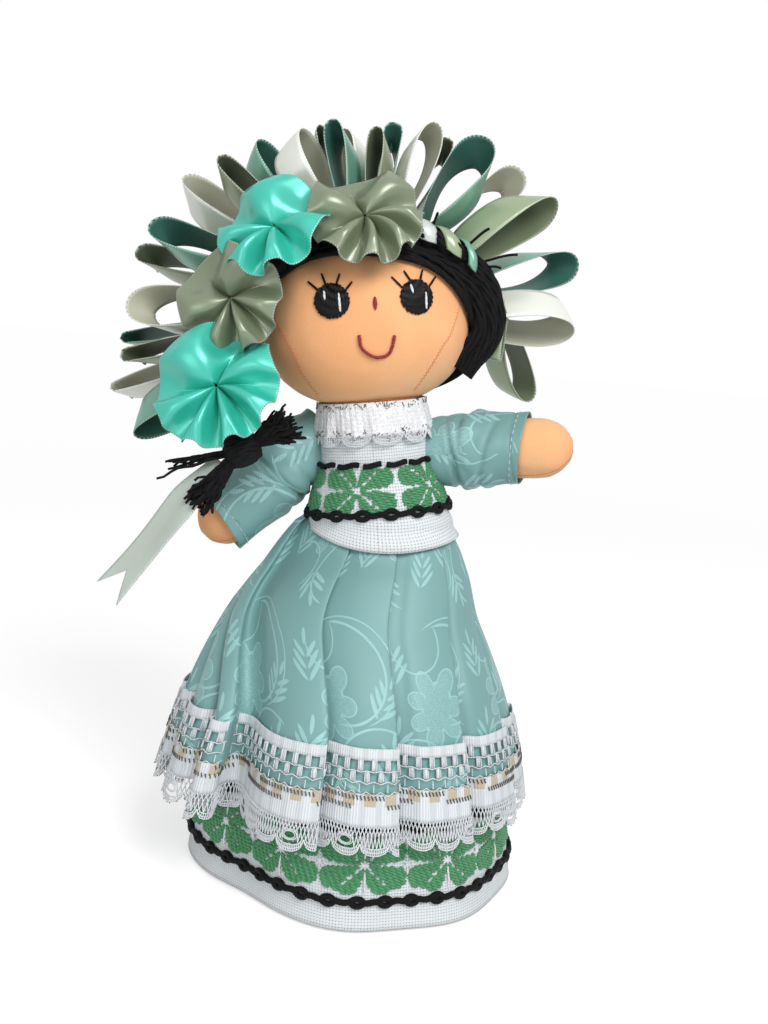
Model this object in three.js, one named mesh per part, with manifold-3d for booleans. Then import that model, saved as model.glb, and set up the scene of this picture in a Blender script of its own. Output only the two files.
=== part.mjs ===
// A standing rag doll with a ribbon headdress. Millimetres, +Z up, the face looks towards -Y.
import * as THREE from "three";
import { mergeVertices } from "three/addons/utils/BufferGeometryUtils.js";
import Module from "manifold-3d";

const wasm = await Module();
wasm.setup();

// Clearances and cloth walls
const gap = 0.3;
const clothWall = 1.3;
const facePieceGrow = 0.9;

// Pose of the sewn doll
const upperLean = THREE.MathUtils.degToRad(9);
const leanPivotZ = 144;
const headYaw = THREE.MathUtils.degToRad(8);

// Stuffed body, in the frame of the upper body
const torsoBottomZ = 120;
const seatHeight = 19;
const midriffHeight = 19;
const chestHeight = 16;
const armpitToNeck = 12;
const neckHeight = 14;
const seatHalfWidth = 25;
const waistHalfWidth = 29.9;
const bustHalfWidth = 27;
const chestHalfWidth = 22.4;
const neckRootHalfWidth = 21.4;
const neckTopHalfWidth = 19.2;
const bodyDepthRatio = 0.78;
const seatSwell = 1.2;
const waistSwell = 0.5;

// Head: a squashed ball with a flat seam on the neck
const headHalfWidth = 43.5;
const headHalfDepth = 32;
const headRise = 38;
const headDrop = 34;
const headSquareness = 2.25;
const headCentreAboveNeck = 31;

// Face stitches
const eyeRadius = 6.2;
const eyeSpread = 16.2;
const eyeAboveCentre = 9.5;
const noseHeight = 5.5;
const noseWidth = 1.6;
const noseAboveCentre = 8;
const mouthHalfWidth = 6.8;
const mouthDrop = 8.2;
const mouthBelowCentre = 4;
const mouthBand = 1.5;

// Hair
const hairThickness = 2.5;
const hairlineRise = 26.5;
const hairlineBelowCentre = 5;
const hairlineHalfWidth = 50;
const hairFrontY = -1;
const braidRadius = 6.5;
const crownStandOff = 1.4;
const crownForward = 10;
const crownLean = 8;
const crownLift = 0.5;
const crownStartAngle = -34;
const crownEndAngle = 167;
const knotRadius = 7.5;
const tasselLength = 22;
const tasselFullShare = 0.7;
const tasselFullRadius = 5.5;
const tasselEndRadius = 4.4;
const tasselRootRadius = 3;
const sideBraidDrop = 54;
const sideBraidOut = 9;
const sideBraidForward = 21;
const tailLength = 68;
const tailNotch = 10;
const tailBehindKnot = 3.3;

// Ribbons
const ribbonWidth = 15;
const ribbonWall = 0.8;
const loopTwist = THREE.MathUtils.degToRad(12);
const loopReach = 90;
const loopHalfWidth = 6;
const loopBite = 2.5;
const loopRootShare = 0.45;
const loopRowSpace = 2.5;
const frontRowY = 5.5;
const headdressRise = 6;

// Gathered rosettes
const topRosetteRadius = 20;
const sideRosetteRadius = 18.5;
const lowerRosetteRadius = 22;
const rosetteThickness = 5;
const rosetteRimLow = 0.9;
const rosetteRimHigh = 3.6;
const rosettePuckerShare = 0.35;
const rosettePuckerDepth = 2;
const rosetteWaves = 8;
const rosetteWave = 0.8;
const topRosetteLift = 4.2;

// Arms and sleeves
const shoulderX = 36;
const shoulderY = 2;
const shoulderBelowNeckRoot = 9;
const armRadius = 12.2;
const handRadius = 11.5;
const elbowRadius = 11.5;
const wristRadius = 11;
const armReach = 48;
const elbowShare = 0.35;
const wristShare = 0.55;
const sleeveShoulderRadius = 15.4;
const sleevePuffRadius = 15.6;
const sleevePuffShare = 0.35;
const sleeveCuffRadius = 14.2;
const sleeveSeamHole = Math.PI / 7;
const leftSleeveReach = 27;
const rightSleeveReach = 34;
const leftArmDroop = THREE.MathUtils.degToRad(0);
const rightArmDroop = THREE.MathUtils.degToRad(35);
const leftArmForward = THREE.MathUtils.degToRad(15);
const rightArmForward = THREE.MathUtils.degToRad(19);

// Legs and shoes
const hipX = 15;
const hipZ = 112;
const legTopRadius = 12.5;
const thighRadius = 11.9;
const kneeRadius = 10.2;
const calfRadius = 10.7;
const ankleRadius = 7.6;
const thighZ = 87;
const kneeZ = 62;
const calfZ = 38;
const ankleZ = 19;
const shoeLength = 34;
const shoeWidth = 21;
const heelRoom = 10;
const soleZ = 3;

// Bodice and collar
const collarHeight = 15.5;
const collarWall = 1.5;
const chainRadius = 1;
const upperChainAboveArmpit = 2;
const lowerChainBelowBust = 2;
const upperChainBackY = 7;

// Skirts, from the hem up
const overskirtHemZ = 57;
const overskirtHemRadius = 73;
const laceTopZ = 74;
const overskirtLaceTopRadius = 68;
const overskirtHipZ = 109;
const overskirtHipRadius = 52.5;
const overskirtGatherZ = 126;
const overskirtGatherRadius = 43;
const overskirtWaistZ = 135;
const overskirtWaistRadius = 36;
const pleatCount = 13;
const pleatDepth = 6.7;
const pleatSkew = 0.6;
const overskirtSway = 7;
const laceHemZ = 36;
const laceStandOff = 12.2;
const skirtRoundZ = 84;
const underskirtHemRadius = 70.5;
const underskirtLaceRadius = 65;
const underskirtKneeZ = 72;
const underskirtKneeRadius = 54;
const underskirtHipZ = 102;
const underskirtHipRadius = 41;
const underskirtTopZ = 131;
const underskirtTopRadius = 26;
const underskirtFolds = 8;
const underskirtFoldDepth = 2;
const underskirtSway = 2.5;
const liningTopZ = 108;
const liningHemZ = 0.6;
const lowerSkirtChainZ = 11;
const upperSkirtChainZ = 41;

// How finely round pieces are cut
const bodySegments = 24;
const limbSegments = 16;
const ballSegments = 20;
const skirtSegments = 40;
const rosetteSegments = 20;
const loopSteps = 11;

// Cloth, yarn and ribbon
const finishes = {
  skin: { color: 0xefb07c, roughness: 0.85 },
  black: { color: 0x0d0d10, roughness: 0.7 },
  red: { color: 0xb01c22, roughness: 0.6 },
  white: { color: 0xf2f2ef, roughness: 0.9 },
  lace: { color: 0xe6e8ea, roughness: 0.7 },
  brocade: { color: 0x7da9a0, roughness: 0.42 },
  lining: { color: 0xe9e2d2, roughness: 0.9 },
  cream: { color: 0xd8dcd0, roughness: 0.35 },
  olive: { color: 0x6f7a62, roughness: 0.38 },
  green: { color: 0x4e8270, roughness: 0.36 },
  sage: { color: 0x8a9a7b, roughness: 0.36 },
  teal: { color: 0x20b79b, roughness: 0.32 },
};

// The tips of the headdress loops round the head: angle from +X in degrees, and the loop's reach from
// the headdress centre and its half width as shares of the named ones.
const loops = [
  { angle: 202, reach: 1.2, bulge: 1.33 },
  { angle: 194, reach: 1.23, bulge: 0.83 },
  { angle: 187, reach: 1.13, bulge: 0.75 },
  { angle: 182, reach: 1.13, bulge: 0.83 },
  { angle: 174, reach: 1.08, bulge: 1 },
  { angle: 163, reach: 1.08, bulge: 1 },
  { angle: 154, reach: 1.03, bulge: 1 },
  { angle: 141, reach: 1.02, bulge: 1 },
  { angle: 131, reach: 0.96, bulge: 1 },
  { angle: 118, reach: 0.93, bulge: 0.83 },
  { angle: 108, reach: 0.86, bulge: 0.75 },
  { angle: 101, reach: 0.87, bulge: 0.67 },
  { angle: 94, reach: 0.86, bulge: 0.67 },
  { angle: 88, reach: 0.84, bulge: 0.67 },
  { angle: 81, reach: 0.82, bulge: 0.67 },
  { angle: 75, reach: 0.89, bulge: 0.67 },
  { angle: 68, reach: 0.86, bulge: 0.83 },
  { angle: 60, reach: 0.91, bulge: 0.92 },
  { angle: 51, reach: 0.9, bulge: 1 },
  { angle: 39, reach: 1.02, bulge: 1.17 },
  { angle: 28, reach: 0.98, bulge: 1.17 },
  { angle: 9, reach: 1.07, bulge: 1.33 },
  { angle: -6, reach: 0.96, bulge: 1.33 },
  { angle: -31, reach: 0.88, bulge: 1 },
];
const loopColours = ["green", "cream", "olive"];

// Levels that follow from the sizes above
const waistZ = torsoBottomZ + seatHeight;
const bustZ = waistZ + midriffHeight;
const armpitZ = bustZ + chestHeight;
const neckRootZ = armpitZ + armpitToNeck;
const neckTopZ = neckRootZ + neckHeight;
const shoulderZ = neckRootZ - shoulderBelowNeckRoot;
const headBottomZ = neckTopZ + gap;
const headCentreZ = neckTopZ + headCentreAboveNeck;
const headdressZ = headCentreZ + headdressRise;
const bodiceOut = gap + clothWall;

const doll = new THREE.Group();
const upper = new THREE.Group();
upper.rotation.y = -upperLean;
upper.position.set(leanPivotZ * Math.sin(upperLean), 0, leanPivotZ * (1 - Math.cos(upperLean)));
const headGroup = new THREE.Group();
headGroup.rotation.z = headYaw;
upper.add(headGroup);
doll.add(upper);
doll.updateMatrixWorld(true);

// Solids

// A closed geometry as a manifold solid: shared corners merged, faces of no area dropped.
function solid(geometry) {
  const bare = geometry.index ? geometry.toNonIndexed() : geometry.clone();
  bare.deleteAttribute("normal");
  bare.deleteAttribute("uv");
  const merged = mergeVertices(bare, 1e-4);
  const corners = merged.index.array;
  const triangles = [];
  for (let i = 0; i < corners.length; i += 3) {
    const [a, b, c] = [corners[i], corners[i + 1], corners[i + 2]];
    if (a !== b && b !== c && c !== a) {
      triangles.push(a, b, c);
    }
  }
  return new wasm.Manifold(
    new wasm.Mesh({
      numProp: 3,
      vertProperties: merged.attributes.position.array,
      triVerts: new Uint32Array(triangles),
    }),
  );
}

function geometryOf(manifold) {
  const mesh = manifold.getMesh();
  const geometry = new THREE.BufferGeometry();
  geometry.setAttribute("position", new THREE.BufferAttribute(mesh.vertProperties, 3));
  geometry.setIndex(new THREE.BufferAttribute(mesh.triVerts, 1));
  geometry.computeVertexNormals();
  return geometry;
}

function addPiece(parent, name, shape, finish) {
  const geometry = shape.isBufferGeometry ? shape : geometryOf(shape);
  const mesh = new THREE.Mesh(
    geometry,
    new THREE.MeshStandardMaterial({ ...finishes[finish], metalness: 0 }),
  );
  mesh.name = name;
  parent.add(mesh);
  return mesh;
}

// A profile of [radius, height] pairs turned round the Z axis.
function turned(profile, segments) {
  const points = profile.map(([radius, height]) => new THREE.Vector2(radius, height));
  return new THREE.LatheGeometry(points, segments).rotateX(Math.PI / 2);
}

// A shape drawn in X and Z, pushed from the plane y = frontY + depth forward to y = frontY.
function pushed(shape, frontY, depth) {
  const options = { depth, bevelEnabled: false, curveSegments: 10 };
  return new THREE.ExtrudeGeometry(shape, options).rotateX(Math.PI / 2).translate(0, frontY + depth, 0);
}

function ball(centre, radius) {
  const sphere = new THREE.SphereGeometry(radius, ballSegments, ballSegments / 2);
  return solid(sphere.translate(centre.x, centre.y, centre.z));
}

// The room round a ball: a faceted ball whose flat faces all lie outside the radius.
function room(centre, radius) {
  return ball(centre, radius / Math.cos(Math.PI / ballSegments) ** 2);
}

// Changes every corner of a geometry in place.
function reshape(geometry, change) {
  const corners = geometry.attributes.position;
  const corner = new THREE.Vector3();
  for (let i = 0; i < corners.count; i += 1) {
    corner.fromBufferAttribute(corners, i);
    change(corner);
    corners.setXYZ(i, corner.x, corner.y, corner.z);
  }
  return geometry;
}

// The radius at a height on a list of [height, radius] pairs in rising order.
function radiusOn(pairs, height) {
  let i = 1;
  while (i < pairs.length - 1 && height > pairs[i][0]) {
    i += 1;
  }
  const [lowZ, lowRadius] = pairs[i - 1];
  const [highZ, highRadius] = pairs[i];
  return lowRadius + ((highRadius - lowRadius) * (height - lowZ)) / (highZ - lowZ);
}

// The closed profile of a cloth tube whose outer wall follows radiusAt at the given heights.
function clothProfile(radiusAt, heights, wall) {
  const outer = heights.map((height) => [radiusAt(height), height]);
  const inner = heights.map((height) => [radiusAt(height) - wall, height]).reverse();
  return [...outer, ...inner, outer[0]];
}

// Places a geometry that points along +Z so that it starts at a point and points along a direction.
function aimed(geometry, start, direction) {
  const turn = new THREE.Quaternion().setFromUnitVectors(
    new THREE.Vector3(0, 0, 1),
    direction.clone().normalize(),
  );
  return geometry.applyQuaternion(turn).translate(start.x, start.y, start.z);
}

// Stuffed torso and neck

const torsoLevels = [
  [torsoBottomZ, seatHalfWidth],
  [(torsoBottomZ + waistZ) / 2, (seatHalfWidth + waistHalfWidth) / 2 + seatSwell],
  [waistZ, waistHalfWidth],
  [(waistZ + bustZ) / 2, (waistHalfWidth + bustHalfWidth) / 2 + waistSwell],
  [bustZ, bustHalfWidth],
  [armpitZ, chestHalfWidth],
  [neckRootZ, neckRootHalfWidth],
  [neckTopZ, neckTopHalfWidth],
];

function torsoHalfWidth(height) {
  return radiusOn(torsoLevels, height);
}

// Solid torso, larger by grow at its sides.
function torsoShape(grow) {
  const side = torsoLevels.map(([height, halfWidth]) => [halfWidth + grow, height]);
  const profile = [[0, torsoBottomZ], ...side, [0, neckTopZ]];
  return turned(profile, bodySegments).scale(1, bodyDepthRatio, 1);
}

const shoulders = {
  left: new THREE.Vector3(shoulderX, shoulderY, shoulderZ),
  right: new THREE.Vector3(-shoulderX, shoulderY, shoulderZ),
};
const hips = {
  left: new THREE.Vector3(hipX, 0, hipZ),
  right: new THREE.Vector3(-hipX, 0, hipZ),
};

// Takes the room that the two sleeves need out of a piece of the upper body.
function clearOfSleeves(manifold) {
  const left = room(shoulders.left, sleeveShoulderRadius + gap);
  const right = room(shoulders.right, sleeveShoulderRadius + gap);
  return manifold.subtract(left).subtract(right);
}

function makeTorso() {
  let torso = clearOfSleeves(solid(torsoShape(0)));
  for (const hip of Object.values(hips)) {
    torso = torso.subtract(room(upper.worldToLocal(hip.clone()), legTopRadius + gap));
  }
  addPiece(upper, "torso", torso, "skin");
}

// Cloth round the torso

function makeBodice() {
  const heights = [waistZ, (waistZ + bustZ) / 2, bustZ, armpitZ, neckRootZ, neckTopZ];
  const profile = clothProfile((height) => torsoHalfWidth(height) + bodiceOut, heights, clothWall);
  const bodice = turned(profile, bodySegments).scale(1, bodyDepthRatio, 1);
  addPiece(upper, "bodice", clearOfSleeves(solid(bodice)), "white");
}

function makeCollar() {
  const out = bodiceOut + gap + collarWall;
  const heights = [neckTopZ - collarHeight, neckTopZ - collarHeight / 2, neckTopZ];
  const profile = clothProfile((height) => torsoHalfWidth(height) + out, heights, collarWall);
  const collar = turned(profile, bodySegments).scale(1, bodyDepthRatio, 1);
  addPiece(upper, "collar_lace", clearOfSleeves(solid(collar)), "lace");
}

// A raised cord of three-sided section round a wall whose radius is given at each height.
function chainRing(radiusAt, height, segments) {
  const low = height - chainRadius;
  const high = height + chainRadius;
  const start = [radiusAt(low), low];
  const crest = [radiusAt(height) + 2 * chainRadius, height];
  return turned([start, crest, [radiusAt(high), high], start], segments);
}

function bodiceChain(height) {
  const against = (z) => torsoHalfWidth(z) + bodiceOut + gap;
  return solid(chainRing(against, height, bodySegments).scale(1, bodyDepthRatio, 1));
}

function makeBodiceChains() {
  const side = 2 * waistHalfWidth;
  const plate = new THREE.Shape()
    .moveTo(-side, waistZ)
    .lineTo(side, waistZ)
    .lineTo(side, neckTopZ)
    .lineTo(-side, neckTopZ);
  const back = solid(pushed(plate, -upperChainBackY, side));
  const upperChain = clearOfSleeves(bodiceChain(armpitZ + upperChainAboveArmpit).subtract(back));
  addPiece(upper, "bodice_chain_upper", upperChain, "black");
  addPiece(upper, "bodice_chain_lower", bodiceChain(bustZ - lowerChainBelowBust), "black");
}

// Limbs: they point along +Z from the ball at their joint

// The lower half of a ball round the origin, from the axis out to its rim.
function roundStart(radius, steps, firstAngle = 0) {
  return Array.from({ length: steps + 1 }, (_, i) => {
    const angle = firstAngle + ((Math.PI / 2 - firstAngle) * i) / steps;
    return [radius * Math.sin(angle), -radius * Math.cos(angle)];
  });
}

// The upper half of a ball whose centre is at a height, from its rim in to the axis.
function roundEnd(radius, height, steps) {
  return Array.from({ length: steps + 1 }, (_, i) => {
    const angle = (Math.PI / 2) * (1 - i / steps);
    return [radius * Math.sin(angle), height + radius * Math.cos(angle)];
  });
}

function armDirection(side, droop, forward) {
  return new THREE.Vector3(
    side * Math.cos(droop) * Math.cos(forward),
    -Math.cos(droop) * Math.sin(forward),
    -Math.sin(droop),
  );
}

function makeArm(name, shoulder, direction, sleeveReach) {
  const handCentre = armReach - handRadius;
  const arm = [
    ...roundStart(armRadius, 4),
    [elbowRadius, armReach * elbowShare],
    [wristRadius, armReach * wristShare],
    ...roundEnd(handRadius, handCentre, 3),
  ];
  addPiece(upper, "arm_" + name, solid(aimed(turned(arm, limbSegments), shoulder, direction)), "skin");

  const outer = [
    ...roundStart(sleeveShoulderRadius, 4, sleeveSeamHole),
    [sleevePuffRadius, sleeveReach * sleevePuffShare],
    [sleeveCuffRadius, sleeveReach],
  ];
  const inner = [
    ...roundStart(armRadius + gap, 4, sleeveSeamHole),
    [sleevePuffRadius - clothWall, sleeveReach * sleevePuffShare],
    [sleeveCuffRadius - clothWall, sleeveReach],
  ].reverse();
  const sleeve = turned([...outer, ...inner, outer[0]], limbSegments);
  addPiece(upper, "sleeve_" + name, solid(aimed(sleeve, shoulder, direction)), "brocade");
}

function makeLeg(name, hip) {
  const down = new THREE.Vector3(0, 0, -1);
  const leg = [
    ...roundStart(legTopRadius, 4),
    [thighRadius, hipZ - thighZ],
    [kneeRadius, hipZ - kneeZ],
    [calfRadius, hipZ - calfZ],
    [ankleRadius, hipZ - ankleZ],
    [0, hipZ - ankleZ],
  ];
  addPiece(doll, "leg_" + name, solid(aimed(turned(leg, limbSegments), hip, down)), "skin");

  const shoeHeight = ankleZ - gap - soleZ;
  // Shares of the shoe's half length and of its height, from the sole to the top.
  const shoeSide = [[0, 0], [0.97, 0], [1, 0.2], [0.82, 0.68], [0.46, 1], [0, 1]];
  const shoe = turned(shoeSide, limbSegments);
  shoe.scale(shoeWidth / 2, shoeLength / 2, shoeHeight).translate(hip.x, heelRoom - shoeLength / 2, soleZ);
  addPiece(doll, "shoe_" + name, solid(shoe), "black");
}

// Head

// Half width of the head, larger by grow all round, at a height.
function headHalfWidthAt(height, grow) {
  const reach = height > headCentreZ ? headRise + grow : headDrop + grow;
  const share = Math.min(1, Math.abs(height - headCentreZ) / reach);
  return (headHalfWidth + grow) * (1 - share ** headSquareness) ** (1 / headSquareness);
}

// The head's solid, larger by grow at the sides and the top, cut flat at the neck seam.
function headShape(grow) {
  const rings = 13;
  const profile = [[0, headBottomZ]];
  const seamShare = (headCentreZ - headBottomZ) / (headDrop + grow);
  const lowest = -Math.asin(Math.min(1, seamShare));
  for (let i = 0; i <= rings; i += 1) {
    const angle = lowest + ((Math.PI / 2 - lowest) * i) / rings;
    const rise = angle > 0 ? headRise + grow : headDrop + grow;
    const height = headCentreZ + rise * Math.sin(angle);
    profile.push([i === rings ? 0 : headHalfWidthAt(height, grow), height]);
  }
  const depthShare = (headHalfDepth + grow) / (headHalfWidth + grow);
  return turned(profile, bodySegments).scale(1, depthShare, 1);
}

// A thin layer of stitches on the face inside an outline drawn in X and Z.
function stitched(outline) {
  const layer = solid(headShape(facePieceGrow)).subtract(solid(headShape(gap)));
  return layer.intersect(solid(pushed(outline, -2 * headHalfDepth, 2 * headHalfDepth)));
}

function oval(centreX, centreZ, halfWidth, halfHeight) {
  return new THREE.Shape().absellipse(centreX, centreZ, halfWidth, halfHeight, 0, 2 * Math.PI);
}

function makeFace() {
  const eyeZ = headCentreZ + eyeAboveCentre;
  const noseZ = headCentreZ + noseAboveCentre;
  const mouthZ = headCentreZ - mouthBelowCentre;
  addPiece(headGroup, "eye_left", stitched(oval(eyeSpread, eyeZ, eyeRadius, eyeRadius)), "black");
  addPiece(headGroup, "eye_right", stitched(oval(-eyeSpread, eyeZ, eyeRadius, eyeRadius)), "black");
  addPiece(headGroup, "nose", stitched(oval(0, noseZ, noseWidth / 2, noseHeight / 2)), "red");
  const smile = new THREE.Shape();
  smile.absellipse(0, mouthZ, mouthHalfWidth, mouthDrop, Math.PI, 2 * Math.PI);
  const [innerWidth, innerDrop] = [mouthHalfWidth - mouthBand, mouthDrop - mouthBand];
  smile.absellipse(0, mouthZ, innerWidth, innerDrop, 2 * Math.PI, Math.PI, true);
  addPiece(headGroup, "mouth", stitched(smile), "red");
}

function makeHead() {
  addPiece(headGroup, "head", solid(headShape(0)), "skin");
  const hairlineZ = headCentreZ - hairlineBelowCentre;
  const rise = hairlineRise + hairlineBelowCentre;
  const opening = new THREE.Shape();
  opening.moveTo(-hairlineHalfWidth, headBottomZ - headDrop);
  opening.lineTo(hairlineHalfWidth, headBottomZ - headDrop);
  opening.absellipse(0, hairlineZ, hairlineHalfWidth, rise, 0, Math.PI);
  const face = solid(pushed(opening, hairFrontY - 2 * headHalfDepth, 2 * headHalfDepth));
  const cap = solid(headShape(hairThickness)).subtract(solid(headShape(gap))).subtract(face);
  addPiece(headGroup, "hair_cap", cap, "black");
}

// Braids

// The crown braid's centre line over the top of the head, by its angle from +X.
function crownPoint(degrees) {
  const angle = THREE.MathUtils.degToRad(degrees);
  return new THREE.Vector3(
    (headHalfWidth + braidRadius + crownStandOff) * Math.cos(angle),
    -crownForward - crownLean * Math.sin(angle),
    headCentreZ + (headRise + crownLift) * Math.sin(angle),
  );
}

class CrownLine extends THREE.Curve {
  getPoint(t, target = new THREE.Vector3()) {
    return target.copy(crownPoint(crownStartAngle + (crownEndAngle - crownStartAngle) * t));
  }
}

const braidTop = crownPoint(crownEndAngle);
// The side braid hangs from its top: shares of how far it goes out, forward and down.
const sideBraidShares = [[0, 0, 0], [0.45, 0.07, 0.31], [1, 0.55, 0.67], [0.22, 1, 1]];
const sideBraidLine = new THREE.CatmullRomCurve3(
  sideBraidShares.map(([out, forward, down]) =>
    braidTop.clone().add(
      new THREE.Vector3(-sideBraidOut * out, -sideBraidForward * forward, -sideBraidDrop * down),
    ),
  ),
);
const knot = sideBraidLine.getPoint(1);

function roundTube(line, radius, steps) {
  const section = new THREE.Shape().absarc(0, 0, radius, 0, 2 * Math.PI);
  return solid(
    new THREE.ExtrudeGeometry(section, { steps, extrudePath: line, bevelEnabled: false, curveSegments: 4 }),
  );
}

function makeBraids() {
  const hair = solid(headShape(hairThickness + gap));
  const crown = roundTube(new CrownLine(), braidRadius, 22);
  const crownCut = crown.subtract(hair).subtract(room(braidTop, braidRadius + gap));
  addPiece(headGroup, "crown_braid", crownCut, "black");
  const side = roundTube(sideBraidLine, braidRadius, 9);
  const sideKnotted = side.add(ball(braidTop, braidRadius)).add(ball(knot, knotRadius));
  addPiece(headGroup, "side_braid", sideKnotted, "black");
}

function makeTassel(name, direction) {
  const start = knot.clone().addScaledVector(direction.normalize(), knotRadius + gap);
  const profile = [
    [0, 0],
    [tasselRootRadius, 0],
    [tasselFullRadius, tasselLength * tasselFullShare],
    [tasselEndRadius, tasselLength],
    [0, tasselLength],
  ];
  addPiece(headGroup, name, aimed(turned(profile, 10), start, direction), "black");
}

function makeBraidEnds() {
  makeTassel("tassel_upper", new THREE.Vector3(0.95, -0.07, 0.31));
  makeTassel("tassel_lower", new THREE.Vector3(-0.7, -0.16, -0.7));
  const half = ribbonWidth / 2;
  const start = knotRadius + gap;
  const tail = new THREE.Shape()
    .moveTo(-half, start)
    .lineTo(half, start)
    .lineTo(half, start + tailLength)
    .lineTo(0, start + tailLength - tailNotch)
    .lineTo(-half, start + tailLength);
  const strip = pushed(tail, -ribbonWall / 2, ribbonWall).rotateY(Math.PI * 1.25);
  strip.translate(knot.x, knot.y + tailBehindKnot, knot.z);
  addPiece(headGroup, "braid_ribbon_tail", strip, "cream");
}

// Ribbon loops and rosettes

// How far the hair reaches from the headdress centre in one direction at a depth.
function hairReach(angle, y) {
  const depthShare = y / (headHalfDepth + hairThickness);
  let inside = 0;
  let outside = 2 * headHalfWidth;
  for (let i = 0; i < 30; i += 1) {
    const middle = (inside + outside) / 2;
    const width = headHalfWidthAt(headdressZ + middle * Math.sin(angle), hairThickness);
    const widthShare = (middle * Math.cos(angle)) / (headHalfWidth + hairThickness);
    const ringShare = width / (headHalfWidth + hairThickness);
    if (widthShare ** 2 + depthShare ** 2 < ringShare ** 2) {
      inside = middle;
    } else {
      outside = middle;
    }
  }
  return inside;
}

// An egg-shaped outline from the origin along +X: its length, half its width, and its end overhang.
function egg(length, halfWidth, overhang) {
  return Array.from({ length: loopSteps }, (_, i) => {
    const turn = (2 * Math.PI * (i + 0.5)) / loopSteps;
    const share = (1 - Math.cos(turn)) / 2;
    const fullness = loopRootShare + (1 - loopRootShare) * share;
    return new THREE.Vector2(
      -overhang + (length + 2 * overhang) * share,
      -(halfWidth + overhang) * Math.sin(turn) * fullness,
    );
  });
}

function makeLoops() {
  const hair = solid(headShape(hairThickness + gap));
  loops.forEach(({ angle, reach, bulge }, index) => {
    const direction = THREE.MathUtils.degToRad(angle);
    const rowY = frontRowY + (index % 2) * (ribbonWidth + loopRowSpace);
    const rootReach = hairReach(direction, rowY) - loopBite;
    const length = loopReach * reach - rootReach;
    const halfWidth = loopHalfWidth * bulge;
    const outline = new THREE.Shape(egg(length, halfWidth, 0));
    outline.holes.push(new THREE.Path(egg(length, halfWidth, -ribbonWall)));
    const strip = new THREE.ExtrudeGeometry(outline, { depth: ribbonWidth, bevelEnabled: false });
    strip.translate(rootReach, 0, -ribbonWidth / 2).rotateX(loopTwist);
    const outward = new THREE.Vector3(Math.cos(direction), 0, Math.sin(direction));
    const along = new THREE.Vector3(-Math.sin(direction), 0, Math.cos(direction));
    const frame = new THREE.Matrix4().makeBasis(outward, along, new THREE.Vector3(0, -1, 0));
    frame.setPosition(0, rowY, headdressZ);
    const name = "ribbon_loop_" + String(index + 1).padStart(2, "0");
    const finish = loopColours[index % loopColours.length];
    addPiece(headGroup, name, solid(strip.applyMatrix4(frame)).subtract(hair), finish);
  });
}

// A round of gathered ribbon that faces along a direction. It is seated on a braid at a point,
// or lifted from it where it lies on the rims of its neighbours.
function makeRosette(name, point, direction, radius, lift, finish) {
  const profile = [
    [0, 0],
    [radius, rosetteRimLow],
    [radius, rosetteRimHigh],
    [radius * rosettePuckerShare, rosetteThickness],
    [0, rosetteThickness - rosettePuckerDepth],
  ];
  const disc = reshape(turned(profile, rosetteSegments), (corner) => {
    const share = Math.hypot(corner.x, corner.y) / radius;
    corner.z += rosetteWave * share ** 2 * Math.cos(rosetteWaves * Math.atan2(corner.y, corner.x));
  });
  const seat = point.clone().addScaledVector(direction.normalize(), braidRadius + gap + lift);
  addPiece(headGroup, name, aimed(disc, seat, direction), finish);
}

function makeRosettes() {
  const toLeft = new THREE.Vector3(-0.38, -0.62, 0.68);
  const toFront = new THREE.Vector3(0.08, -0.75, 0.66);
  const toSide = new THREE.Vector3(-0.42, -0.9, 0.08);
  const toFloor = new THREE.Vector3(-0.3, -0.8, 0.52);
  const lowerPoint = sideBraidLine.getPoint(0.7);
  makeRosette("rosette_top_left", crownPoint(128), toLeft, topRosetteRadius, topRosetteLift, "teal");
  makeRosette("rosette_top_centre", crownPoint(86), toFront, topRosetteRadius, 0, "sage");
  makeRosette("rosette_side", crownPoint(160), toSide, sideRosetteRadius, 0, "sage");
  makeRosette("rosette_braid", lowerPoint, toFloor, lowerRosetteRadius, 0, "teal");
}

// Skirts: cloth that hangs from the waist in folds

function smooth(share) {
  return THREE.MathUtils.smoothstep(share, 0, 1);
}

// Share of a full round that the skirts have reached in depth: the body's oval at the waist, a circle below.
function skirtDepthRatio(height) {
  return THREE.MathUtils.lerp(bodyDepthRatio, 1, smooth((leanPivotZ - height) / (leanPivotZ - skirtRoundZ)));
}

// Turns plain rings into folded cloth. cloth says how many folds, how deep, and how far it hangs askew.
function hung(geometry, cloth) {
  return reshape(geometry, (corner) => {
    const angle = Math.atan2(corner.y, corner.x);
    const fold = (1 - Math.cos(cloth.folds * angle + cloth.foldSkew * Math.sin(cloth.folds * angle))) / 2;
    const fullness = Math.max(0, (cloth.topZ - corner.z) / cloth.topZ);
    const radius = Math.hypot(corner.x, corner.y) - cloth.foldDepth * fullness * fold;
    corner.x = radius * Math.cos(angle) + cloth.shift(corner.z);
    corner.y = radius * Math.sin(angle) * skirtDepthRatio(corner.z);
  });
}

const overskirtTopZ = leanPivotZ;
const overskirtCloth = {
  folds: pleatCount,
  foldDepth: pleatDepth,
  foldSkew: pleatSkew,
  topZ: overskirtTopZ,
  shift: (height) => -overskirtSway * smooth((leanPivotZ - height) / (leanPivotZ - overskirtHipZ)),
};
const underskirtCloth = {
  folds: underskirtFolds,
  foldDepth: underskirtFoldDepth,
  foldSkew: 0,
  topZ: underskirtTopZ,
  shift: (height) => -underskirtSway * Math.sin((Math.PI * height) / underskirtTopZ),
};

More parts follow.
